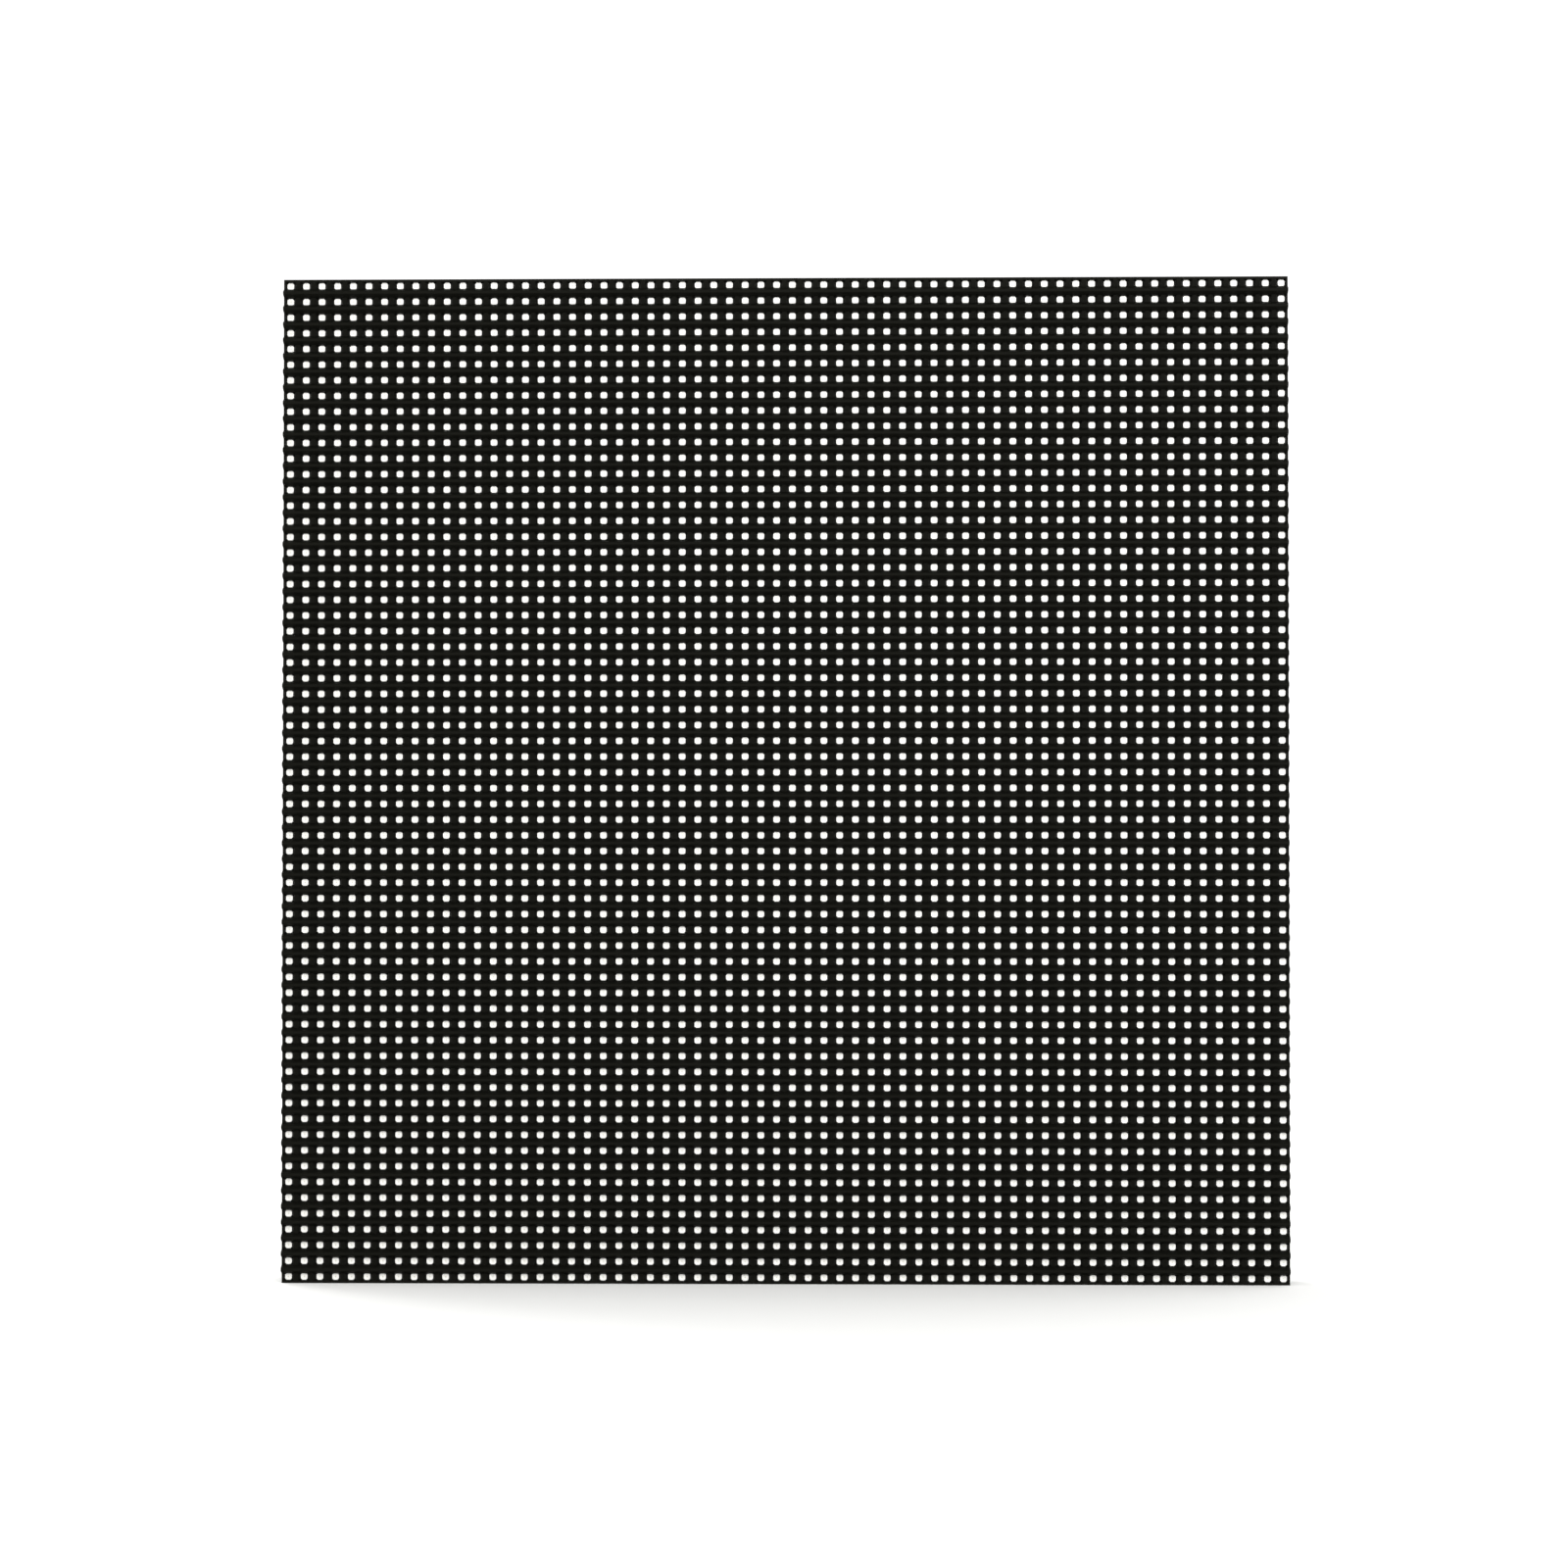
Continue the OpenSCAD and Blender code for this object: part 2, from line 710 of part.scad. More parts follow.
module power_pins() {
    color("#c9ccd0")
        on_board([0, 0])
            at_power_pins()
                square_post(power_pin_w, 0, power_pin_h);
}

// Square base with two cut corners and a flat lead at two sides, and a can with a crimp and a rounded rim
module reservoir_capacitor(at) {
    half = can_base_w / 2;
    cut = half - can_base_chamfer;
    base = [[-half, -half], [half, -half], [half, cut], [cut, half], [-cut, half], [-half, cut]];
    r = can_d / 2;
    crimp_z = can_base_h + can_crimp_at;
    color("#b9bcc0")
        on_board(at) {
            linear_extrude(can_base_h)
                polygon(base);
            translate([-can_lead_w / 2, -half - can_lead_out, 0])
                cube([can_lead_w, can_base_w + 2 * can_lead_out, can_lead_t]);
            difference() {
                rotate_extrude() {
                    translate([0, can_base_h - eps])
                        square([r, can_h - can_base_h - can_round + eps]);
                    square([r - can_round, can_h]);
                    translate([r - can_round, can_h - can_round])
                        circle(can_round);
                }
                rotate_extrude()
                    translate([r + can_crimp, crimp_z])
                        circle(2 * can_crimp);
            }
        }
}

// A chip part on the board, drawn with its length along x before it is turned
module chip_part(at, h, turn = 0) {
    on_board(at, turn)
        translate([-chip_part_len / 2, -chip_part_w / 2, 0])
            cube([chip_part_len, chip_part_w, h]);
}

module ceramic_capacitors() {
    color("#b08a62") {
        for (at = column_places)
            chip_part(at + [0, column_part_off], ceramic_h);
        for (at = scan_places)
            chip_part(at + [scan_part_off, 0], ceramic_h, 90);
        for (at = buffer_places)
            chip_part(at + [buffer_part_off, 0], ceramic_h, 90);
    }
}

module chip_resistors() {
    color("#2b2b30") {
        for (at = column_places)
            chip_part(at - [0, column_part_off], resistor_h);
        for (i = [0:line_resistors - 1])
            chip_part([line_resistor_x, (i - (line_resistors - 1) / 2) * line_step], resistor_h);
    }
}

face_mask();
led_lamps();
circuit_board();
back_frame();
mounting_inserts();
frame_screws();
data_in_header();
data_in_pins();
data_out_header();
data_out_pins();
power_socket();
power_pins();
for (i = [0:len(column_nodes) - 1])
    column_driver(column_places[i]);
for (i = [0:len(scan_nodes) - 1])
    scan_driver(scan_places[i]);
for (i = [0:len(buffer_nodes) - 1])
    buffer(buffer_places[i]);
for (i = [0:len(can_nodes) - 1])
    reservoir_capacitor(can_places[i]);
ceramic_capacitors();
chip_resistors();
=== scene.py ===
"""Looks of an LED display module: louvred mask, 64 by 64 lamps, circuit board with its drivers, rear frame.

Lamps look along -Y, +Z is up, and y = 0 is the plane of the rear mounting faces. Everything is in metres.
"""

import math
from collections import namedtuple

import bmesh
import bpy
import numpy as np
from bpy.props import FloatProperty, FloatVectorProperty, IntProperty, PointerProperty
from bpy.types import Operator, Panel, PropertyGroup
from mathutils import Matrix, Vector


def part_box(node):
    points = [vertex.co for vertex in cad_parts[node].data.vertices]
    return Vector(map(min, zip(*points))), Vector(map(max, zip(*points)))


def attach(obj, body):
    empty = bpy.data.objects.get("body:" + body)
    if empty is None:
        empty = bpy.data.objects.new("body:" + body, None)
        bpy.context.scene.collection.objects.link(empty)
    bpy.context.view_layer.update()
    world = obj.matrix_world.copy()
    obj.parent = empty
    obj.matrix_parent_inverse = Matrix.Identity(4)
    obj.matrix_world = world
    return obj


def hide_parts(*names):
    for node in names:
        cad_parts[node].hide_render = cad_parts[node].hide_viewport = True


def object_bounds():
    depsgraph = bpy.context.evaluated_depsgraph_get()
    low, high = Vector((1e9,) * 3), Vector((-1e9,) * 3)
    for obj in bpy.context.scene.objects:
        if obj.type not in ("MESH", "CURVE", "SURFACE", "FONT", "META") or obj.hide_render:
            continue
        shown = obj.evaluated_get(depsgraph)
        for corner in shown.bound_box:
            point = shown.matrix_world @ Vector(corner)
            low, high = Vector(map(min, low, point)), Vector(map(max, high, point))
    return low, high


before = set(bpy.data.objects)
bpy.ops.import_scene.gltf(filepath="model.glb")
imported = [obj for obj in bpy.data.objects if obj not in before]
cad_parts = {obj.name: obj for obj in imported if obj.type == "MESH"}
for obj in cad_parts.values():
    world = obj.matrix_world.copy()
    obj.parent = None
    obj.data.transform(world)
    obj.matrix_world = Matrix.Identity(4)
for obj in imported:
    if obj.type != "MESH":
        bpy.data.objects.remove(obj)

bl_info = {
    "name": "LED display module",
    "version": (1, 0, 0),
    "blender": (4, 5, 0),
    "location": "View3D > Sidebar > LED module",
    "description": "Dresses the solids of a louvred LED display module",
    "category": "Add Mesh",
}

MM = 0.001
BODY = "root"
CAD_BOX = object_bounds()

MASK_LOW, MASK_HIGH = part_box("face_mask")
LAMPS_LOW, LAMPS_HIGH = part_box("led_lamps")
BOARD_LOW, BOARD_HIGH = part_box("circuit_board")
INSERTS_LOW, INSERTS_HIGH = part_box("mounting_inserts")
SCREWS_LOW, SCREWS_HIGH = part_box("frame_screws")
CAN_LOW, CAN_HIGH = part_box("reservoir_capacitor_1")

# Directions on the rear of the board, as x and z, and the signs of the two ways along each
LEVEL, UPRIGHT = np.array([1.0, 0.0]), np.array([0.0, 1.0])
SIDES = (-1.0, 1.0)

# Numbers that a piece keeps for each vertex, for its material to read
DIE_SHADE, MARK_SIDE = "die_shade", "mark_side"

# A chip family: stem of its nodes' names, width of the body, leads on each side with their spacing and
# width, and whether the long side stands upright
ChipForm = namedtuple("ChipForm", "stem width leads lead_pitch lead_width upright")
CHIP_FORMS = (
    ChipForm("column_driver", 3.9 * MM, 12, 0.635 * MM, 0.26 * MM, True),
    ChipForm("scan_driver", 3.9 * MM, 8, 1.27 * MM, 0.42 * MM, False),
    ChipForm("buffer", 5.3 * MM, 10, 0.65 * MM, 0.3 * MM, False),
)

# A block of the chip parts: its piece, node, finish and slot, shares of a part's length, width and height,
# where it starts as a share of the height and as a room, the cut on its edges, and whether it sits on both
# ends of a part
PartBlock = namedtuple("PartBlock", "piece node finish slot long wide tall rise room edge at_ends")
PART_BLOCKS = (
    PartBlock("ceramic_blocks", "ceramic_capacitors", "fired_ceramic", "ceramic",
              0.76, 0.96, 0.95, 0.0, 0.02 * MM, 0.06 * MM, False),
    PartBlock("ceramic_end_caps", "ceramic_capacitors", "reflowed_tin", None,
              0.2, 1.0, 1.0, 0.0, 0.0, 0.07 * MM, True),
    PartBlock("resistor_plates", "chip_resistors", "bare_alumina", "resistor",
              0.96, 1.0, 0.86, 0.0, 0.02 * MM, 0.03 * MM, False),
    PartBlock("resistor_glaze", "chip_resistors", "dark_glaze", "resistor",
              0.62, 0.94, 0.12, 0.88, 0.0, 0.02 * MM, False),
    PartBlock("resistor_end_caps", "chip_resistors", "reflowed_tin", None,
              0.2, 1.02, 0.96, 0.0, 0.0, 0.04 * MM, True),
)

# A finish: the setting that holds its colour, its roughness, size and height of its grain, share and size of
# the mottle in its colour, how both are drawn out along each axis, and other sockets of the shader. Sizes are
# in millimetres, and a grain too fine to show is drawn as coarse as it needs to show.
LOOK = "colour roughness grain relief mottle mottle_size stretch sockets"
EVEN = (1.0, 1.0, 1.0)
METAL = {"Metallic": 1.0}
Finish = namedtuple("Finish", LOOK, defaults=(EVEN, {}))
FINISHES = {
    # Black moulding with a spark-eroded skin: matt, with nearly no gloss, so that the lamps stand out
    "spark_eroded_polycarbonate": Finish(
        "mask", 0.42, 0.12, 0.02, 0.14, 14.0, sockets={"Specular IOR Level": 0.008}
    ),
    # White moulding of the lamp housings: bright, with a slightly soft sheen
    "white_polyamide": Finish("lamp", 0.42, 0.08, 0.004, 0.015, 5.0),
    # Resin cast over the dies: milky and smooth, a shade darker in the middle of a lamp
    "milky_resin": Finish("resin", 0.24, 0.3, 0.002, 0.01, 4.0),
    # Glass laminate under solder lacquer: satin black faces, and a bare olive edge where it was cut
    "lacquered_laminate": Finish("solder_mask", 0.38, 0.5, 0.004, 0.1, 11.0),
    # Copper under the lacquer: the same satin black, a little lighter and greener
    "lacquered_copper": Finish("track", 0.34, 0.4, 0.003, 0.08, 6.0),
    # Reflowed tin on leads, lands and end caps: bright, slightly crystalline metal
    "reflowed_tin": Finish("tin", 0.3, 0.12, 0.006, 0.1, 0.8, sockets=METAL),
    # Screen-printed white ink: flat, a little uneven
    "printed_legend": Finish("legend", 0.6, 0.15, 0.004, 0.06, 1.2),
    # Black glass-filled moulding of the rear frame: finely leathery, with a low sheen
    "glass_filled_polycarbonate": Finish(
        "rear_frame", 0.5, 0.45, 0.03, 0.16, 18.0, sockets={"Specular IOR Level": 0.32}
    ),
    # Turned brass of the inserts: warm metal, a little uneven from the tool
    "turned_brass": Finish("brass", 0.28, 0.2, 0.006, 0.12, 1.5, sockets=METAL),
    # Zinc-plated steel of the screws: grey metal, dulled by passivation
    "zinc_plated_steel": Finish("screw", 0.36, 0.25, 0.006, 0.15, 1.0, sockets=METAL),
    # Moulded polyester of the header shrouds: smooth black with a soft shine
    "moulded_polyester": Finish("shroud", 0.36, 0.3, 0.008, 0.1, 6.0),
    # Gold flash on drawn pins: smooth yellow metal with faint lines along the pin
    "gold_flash": Finish("gold", 0.22, 0.2, 0.003, 0.08, 1.5, (1.0, 0.2, 1.0), METAL),
    # Natural moulded nylon of the supply connector: creamy, light goes a little way into it
    "natural_nylon": Finish(
        "nylon", 0.42, 0.5, 0.008, 0.05, 5.0,
        sockets={"Subsurface Weight": 0.15, "Subsurface Scale": 0.6 * MM},
    ),
    # Epoxy moulding compound of the chips: dull charcoal with fine mould texture
    "moulding_compound": Finish("epoxy", 0.58, 0.14, 0.012, 0.12, 2.5),
    # Drawn aluminium of the cans: bright, with fine lines along their height and a mark printed on the top
    "drawn_aluminium": Finish("can", 0.3, 0.35, 0.004, 0.08, 2.0, (1.0, 0.12, 1.0), METAL),
    # Moulded base of the cans: plain black satin plastic
    "moulded_base": Finish("base", 0.45, 0.3, 0.01, 0.1, 3.0),
    # Fired ceramic of the chip capacitors: brown, smooth and dull
    "fired_ceramic": Finish("ceramic", 0.5, 0.1, 0.004, 0.12, 0.7),
    # Bare alumina of the chip resistors: white and matt
    "bare_alumina": Finish("alumina", 0.6, 0.1, 0.004, 0.04, 0.7),
    # Glass glaze over the resistor film: dark and glossy
    "dark_glaze": Finish("glaze", 0.22, 0.2, 0.003, 0.1, 0.6),
    # Matt painted floor, so pale that it burns out to white under the studio light
    "studio_floor": Finish("floor", 0.8, 6.0, 0.05, 0.01, 300.0, sockets={"Specular IOR Level": 0.1}),
}


def linear(hex_colour):
    """Turns an sRGB hex colour into linear red, green and blue, by the curve of the sRGB standard."""
    srgb = np.array([int(hex_colour[i:i + 2], 16) for i in (1, 3, 5)]) / 255
    curve = np.where(srgb <= 0.04045, srgb / 12.92, ((srgb + 0.055) / 1.055) ** 2.4)
    return tuple(curve.tolist())


def amount(name, value, description, **kind):
    """An amount for the sidebar, such as an angle or a power."""
    return FloatProperty(name=name, description=description, default=value, **kind)


def length(name, millimetres, description):
    """A size for the sidebar, given in millimetres."""
    return amount(name, millimetres * MM, description, min=0.0, precision=5, unit="LENGTH")


def count(name, value, description):
    """How many like things there are, for the sidebar."""
    return IntProperty(name=name, description=description, default=value, min=1)


def tint(name, hex_colour, description):
    """A colour for the sidebar, given as sRGB hex."""
    return FloatVectorProperty(
        name=name, description=description, default=linear(hex_colour), min=0.0, max=1.0, subtype="COLOR"
    )


class LampGridSizes(PropertyGroup):
    """Sizes of the lamps and of the mask before them."""

    lamps: count("Lamps a side", 64, "Lamps in a row and rows in the grid")
    pitch: length("Pitch", 3.0, "Distance between neighbouring lamps")
    window_room: length("Window room", 0.075, "Air between a lamp and the window round it")
    upright_depth: length("Upright depth", 1.0, "Height of an upright bar's taper above the lamps")
    upright_crest: length("Upright crest", 0.8, "Width of an upright bar at its crest")
    louvre_crest: length("Louvre crest", 0.6, "Height of a louvre's section at its crest")
    crest_round: length("Crest rounding", 0.1, "Rounding of a louvre's crest")
    rim_flat: length("Rim flat", 0.3, "Flat of the rim outside its inner slope")
    board_room: length("Board room", 0.02, "Air between the mask and the board")
    housing_cut: length("Lamp corner", 0.27, "Cut on the corners of a lamp's housing")
    dish: length("Lamp dish", 1.0, "Width of the dish in a lamp's housing")
    dish_depth: length("Dish depth", 0.3, "Depth of that dish in the middle")
    dish_cut: length("Dish corner", 0.3, "Cut on the corners of that dish")
    meniscus: length("Meniscus", 0.05, "Dip of the resin in the middle of a dish")


class RearSizes(PropertyGroup):
    """Sizes of what is mounted on the rear of the board and frame."""

    bar_line: count("Bar line", 11, "Lamps from the middle to a frame bar")
    chip_draft: length("Chip draft", 0.12, "Slope of a chip's sides away from its mould line")
    chip_edge: length("Chip edge", 0.07, "Rounding of a chip's upper edges")
    chip_standoff: length("Chip standoff", 0.1, "Air under a chip's body")
    dimple: length("Pin mark", 0.42, "Radius of the dimple that marks a chip's first lead")
    lead_thick: length("Lead thickness", 0.2, "Thickness of the lead metal")
    land_room: length("Land room", 0.18, "How far a solder land shows past a lead's foot")
    print_thick: length("Print thickness", 0.02, "Thickness of copper and printed lines on the board")
    track_width: length("Track width", 0.26, "Width of a signal track")
    via_radius: length("Via radius", 0.34, "Radius of a plated hole's ring")
    legend_width: length("Legend width", 0.2, "Width of a printed outline")
    chip_part: length("Chip part", 1.6, "Length of a chip capacitor or resistor, twice its width")
    chip_part_gap: length("Chip part gap", 1.0, "Gap between a chip part and the driver that it serves")
    line_step: length("Line resistor step", 2.0, "Spacing of the resistors beside the data input")
    line_gap: length("Line resistor gap", 2.0, "Gap between the data input and its resistors")
    line_resistors: count("Line resistors", 12, "Resistors in that row")
    header_pitch: length("Header pitch", 2.54, "Spacing of a data header's pins and rows")
    header_pins: count("Header pins", 8, "Pins in a row of a data header")
    header_pin: length("Header pin", 0.64, "Side of a data header's pin")
    power_pitch: length("Power pitch", 3.96, "Spacing of the supply pins")
    power_ways: count("Power ways", 4, "Pins of the supply connector")
    power_pin: length("Power pin", 1.1, "Side of a supply pin")
    insert_radius: length("Insert radius", 2.1, "Outer radius of a threaded insert")
    insert_bore: length("Insert bore", 1.25, "Radius over the crests of an insert's thread")
    thread_pitch: length("Thread pitch", 0.5, "Rise of an insert's thread in one turn")
    head_radius: length("Screw head radius", 1.5, "Radius of a frame screw's head")
    head_height: length("Screw head height", 1.1, "Height of a frame screw's head")
    shank_radius: length("Screw shank radius", 0.58, "Radius of a frame screw's shank")
    can_radius: length("Can radius", 3.15, "Radius of a capacitor can")
    can_base: length("Can base height", 1.0, "Height of the base under a can")
    can_lead: length("Can lead", 0.65, "Width of the flat leads under a can")
    edge_round: length("Moulding edges", 0.18, "Rounding of the edges of frame and connectors")


class FinishColours(PropertyGroup):
    """Colours of the materials."""

    mask: tint("Mask", "#11110e", "Matt black polycarbonate of the mask")
    lamp: tint("Lamp housing", "#f8f7f2", "White of the lamp housings")
    resin: tint("Lamp resin", "#fbfaf4", "Milky resin in the lamps")
    die: tint("Lamp die", "#c9c6b8", "Shade of the dies under the resin")
    solder_mask: tint("Solder mask", "#14181a", "Black lacquer on the board")
    laminate: tint("Laminate", "#3c3a26", "Cut edge of the glass laminate")
    track: tint("Covered copper", "#2b3836", "Lacquer where copper lies under it")
    tin: tint("Tin", "#cfd0cd", "Tinned leads, lands and supply pins")
    legend: tint("Legend", "#e6e6df", "White printing ink")
    rear_frame: tint("Rear frame", "#151617", "Black glass-filled polycarbonate of the frame")
    brass: tint("Brass", "#c39a4a", "Turned brass of the inserts")
    screw: tint("Screw", "#6e7074", "Zinc-plated steel of the screws")
    shroud: tint("Header shroud", "#1a1b1f", "Black polyester of the data headers")
    gold: tint("Gold", "#dcb35c", "Gold flash on the header pins")
    nylon: tint("Nylon", "#e9e3d0", "Natural nylon of the supply connector")
    epoxy: tint("Chip epoxy", "#26262a", "Moulding compound of the chips")
    can: tint("Can", "#c6c9cc", "Drawn aluminium of the cans")
    can_mark: tint("Can mark", "#1d1d22", "Printed polarity mark on the cans")
    base: tint("Can base", "#17171a", "Black base under the cans")
    ceramic: tint("Ceramic", "#a57d55", "Fired ceramic of the chip capacitors")
    alumina: tint("Alumina", "#e4e2da", "White body of the chip resistors")
    glaze: tint("Glaze", "#1c1c22", "Dark glaze over the chip resistors")
    floor: tint("Floor", "#f4f4f2", "Pale studio floor")


class StageSettings(PropertyGroup):
    """Camera and light."""

    focal: amount("Focal length", 100.0, "Lens in millimetres", min=10.0)
    distance: length("Distance", 829.0, "Distance of the camera from the lamps")
    right: amount("Right", math.radians(1.53), "Camera to the right of square-on", subtype="ANGLE")
    below: amount("Below", math.radians(1.23), "Camera below square-on", subtype="ANGLE")
    aim_x: amount("Aim X", -0.09 * MM, "Point aimed at, along X", unit="LENGTH")
    aim_z: amount("Aim Z", -0.76 * MM, "Point aimed at, along Z", unit="LENGTH")
    key: amount("Key", 12.5, "Power of the large light in front", subtype="POWER")
    fill: amount("Fill", 14.0, "Power of the light behind", subtype="POWER")
    sky: amount("Sky", 1.14, "Brightness of the white surroundings", min=0.0)


def add_node(tree, kind, output, inputs=(), **settings):
    """Adds a node with its settings, fills its inputs with values or links, and returns the named output."""
    node = tree.nodes.new(kind)
    for setting, value in settings.items():
        setattr(node, setting, value)
    for socket, value in dict(inputs).items():
        if isinstance(value, bpy.types.NodeSocket):
            tree.links.new(value, node.inputs[socket])
        else:
            node.inputs[socket].default_value = value
    return node.outputs[output]


# A material in the making: its nodes, its shader, the coordinates that it reads and its colour so far
Surface = namedtuple("Surface", "tree shader place shade")


def finish(name):
    """The material of that name, made when it is first asked for, on the piece's own coordinates.

    Noise of the grain's size lifts the surface by the relief and moves the roughness a little. Noise of the
    mottle's size moves the colour by the mottle's share, up and down. Some finishes lay more over that.
    """
    material = bpy.data.materials.get(name)
    if material:
        return material
    look, colours = FINISHES[name], bpy.context.scene.led_finishes
    swing = 0.06
    material = bpy.data.materials.new(name)
    material.use_nodes = True
    tree = material.node_tree
    shader = tree.nodes["Principled BSDF"]
    for socket, value in look.sockets.items():
        shader.inputs[socket].default_value = value
    place = add_node(tree, "ShaderNodeTexCoord", "Object")
    drawn = add_node(tree, "ShaderNodeMapping", "Vector", {"Vector": place, "Scale": look.stretch})
    grain, broad = (
        add_node(tree, "ShaderNodeTexNoise", "Fac", {"Vector": drawn, "Scale": scale, "Detail": detail})
        for scale, detail in ((1 / (look.grain * MM), 2.0), (1 / (look.mottle_size * MM), 3.0))
    )
    dark, light = (
        (*(min(1.0, c * (1 + change)) for c in getattr(colours, look.colour)), 1.0)
        for change in (-look.mottle, look.mottle)
    )
    shade = add_node(tree, "ShaderNodeMixRGB", "Color", {"Fac": broad, "Color1": dark, "Color2": light})
    rough = add_node(tree, "ShaderNodeMapRange", "Result", {
        "Value": grain, "From Min": 0.3, "From Max": 0.7,
        "To Min": look.roughness - swing, "To Max": look.roughness + swing,
    })
    lift = {"Height": grain, "Distance": look.relief * MM, "Strength": 0.5}
    bump = add_node(tree, "ShaderNodeBump", "Normal", lift)
    for socket, value in (("Base Color", shade), ("Roughness", rough), ("Normal", bump)):
        tree.links.new(value, shader.inputs[socket])
    if name in OVERLAYS:
        OVERLAYS[name](Surface(tree, shader, place, shade), colours)
    return material


def lay_over(surface, where, colour):
    """Lays a second colour over a surface where a socket says 1, and returns it with its new shade."""
    inputs = {"Fac": where, "Color1": surface.shade, "Color2": (*colour, 1.0)}
    shade = add_node(surface.tree, "ShaderNodeMixRGB", "Color", inputs)
    surface.tree.links.new(shade, surface.shader.inputs["Base Color"])
    return surface._replace(shade=shade)


def shaded_dies(surface, colours):
    """A darker spot in the middle of a lamp, where the dies lie: the third power of the resin's own shade."""
    near = add_node(surface.tree, "ShaderNodeAttribute", "Fac", attribute_name=DIE_SHADE)
    spot = add_node(surface.tree, "ShaderNodeMath", "Value", {0: near, 1: 3.0}, operation="POWER")
    lay_over(surface, spot, colours.die)


def buried_tracks(surface):
    """Socket that is 1 on a web of tracks under the lacquer.

    The joints of two brick patterns, one level and one upright, stand for the tracks. Broad noise picks the
    one or the other, and leaves some stretches plain.
    """
    tree, place = surface.tree, surface.place
    patch_scale, patch_share, plain_scale, plain_share = 1 / (17.0 * MM), 0.5, 1 / (8.0 * MM), 0.46
    joints = {
        "Scale": 1 / MM, "Mortar Size": 0.13, "Mortar Smooth": 0.0, "Brick Width": 64.0, "Row Height": 1.15,
    }
    split = add_node(tree, "ShaderNodeSeparateXYZ", "X", {"Vector": place}).node.outputs
    ways = []
    for first, second in (("X", "Z"), ("Z", "X")):
        flat = add_node(tree, "ShaderNodeCombineXYZ", "Vector", {"X": split[first], "Y": split[second]})
        ways.append(add_node(tree, "ShaderNodeTexBrick", "Fac", {"Vector": flat, **joints}, offset=0.37))
    picked = []
    for scale, share in ((patch_scale, patch_share), (plain_scale, plain_share)):
        noise = add_node(tree, "ShaderNodeTexNoise", "Fac", {"Vector": place, "Scale": scale, "Detail": 0.0})
        inputs = {0: noise, 1: share}
        picked.append(add_node(tree, "ShaderNodeMath", "Value", inputs, operation="GREATER_THAN"))
    inputs = {"Fac": picked[0], "Color1": ways[0], "Color2": ways[1]}
    web = add_node(tree, "ShaderNodeMixRGB", "Color", inputs)
    return add_node(tree, "ShaderNodeMath", "Value", {0: web, 1: picked[1]}, operation="MULTIPLY")


def tracks_and_cut_edge(surface, colours):
    """Tracks that show through the lacquer, and bare laminate where the board faces sideways."""
    tree, sideways = surface.tree, 0.5
    surface = lay_over(surface, buried_tracks(surface), colours.track)
    normal = add_node(tree, "ShaderNodeNewGeometry", "Normal")
    across = add_node(tree, "ShaderNodeSeparateXYZ", "Y", {"Vector": normal})
    facing = add_node(tree, "ShaderNodeMath", "Value", {0: across}, operation="ABSOLUTE")
    edge = add_node(tree, "ShaderNodeMath", "Value", {0: facing, 1: sideways}, operation="LESS_THAN")
    lay_over(surface, edge, colours.laminate)


def printed_mark(surface, colours):
    """Dull ink over one side of a can's top, which marks its polarity and hides the metal."""
    tree, mark_from = surface.tree, 0.4
    side = add_node(tree, "ShaderNodeAttribute", "Fac", attribute_name=MARK_SIDE)
    ink = add_node(tree, "ShaderNodeMath", "Value", {0: side, 1: mark_from}, operation="GREATER_THAN")
    lay_over(surface, ink, colours.can_mark)
    bare = add_node(tree, "ShaderNodeMath", "Value", {0: 1.0, 1: ink}, operation="SUBTRACT")
    tree.links.new(bare, surface.shader.inputs["Metallic"])


OVERLAYS = {
    "milky_resin": shaded_dies,
    "lacquered_laminate": tracks_and_cut_edge,
    "drawn_aluminium": printed_mark,
}


def rows_of(*columns):
    """Rows from one array for each column: points from coordinates, or faces from vertex numbers."""
    return np.stack(np.broadcast_arrays(*columns), axis=-1).reshape(-1, len(columns))


def spaced(number, step):
    """Places of a row of like things about its middle."""
    return (np.arange(number) - (number - 1) / 2) * step


def copied(faces, copies, vertices):
    """The faces of a shape with so many vertices, counted on from copy to copy."""
    shift = (np.arange(copies) * vertices)[:, None, None]
    return [(shift + f).reshape(-1, f.shape[1]) for f in faces]


def repeat(shape, places):
    """One shape at many places: each place's offset is added to every vertex, and the faces follow."""
    points, faces = shape
    places = np.asarray(places, float)
    return (places[:, None] + points).reshape(-1, 3), copied(faces, len(places), len(points))


def joined(*shapes):
    """Several shapes as one, with the faces of each counted on from the vertices before it."""
    counts = np.cumsum([0] + [len(points) for points, _ in shapes])
    faces = [f + first for (_, some), first in zip(shapes, counts) for f in some]
    return np.concatenate([points for points, _ in shapes]), faces


def ring_stack(rings, looped=False):
    """A surface through a stack of rings with equal counts: quads between neighbours, a face over each end.

    A looped stack runs on from its last ring to its first and has no ends.
    """
    rings = np.asarray(rings, float)
    index = np.arange(rings.shape[0] * rings.shape[1]).reshape(rings.shape[:2])
    here, above = (index, np.roll(index, -1, axis=0)) if looped else (index[:-1], index[1:])
    sides = rows_of(here, np.roll(here, -1, axis=1), np.roll(above, -1, axis=1), above)
    return rings.reshape(-1, 3), [sides] if looped else [sides, index[:1, ::-1], index[-1:]]


def rectangle(width, depth):
    """Four corners of a rectangle in x and y, anticlockwise."""
    return np.array([[1, -1], [1, 1], [-1, 1], [-1, -1]]) * [width / 2, depth / 2]


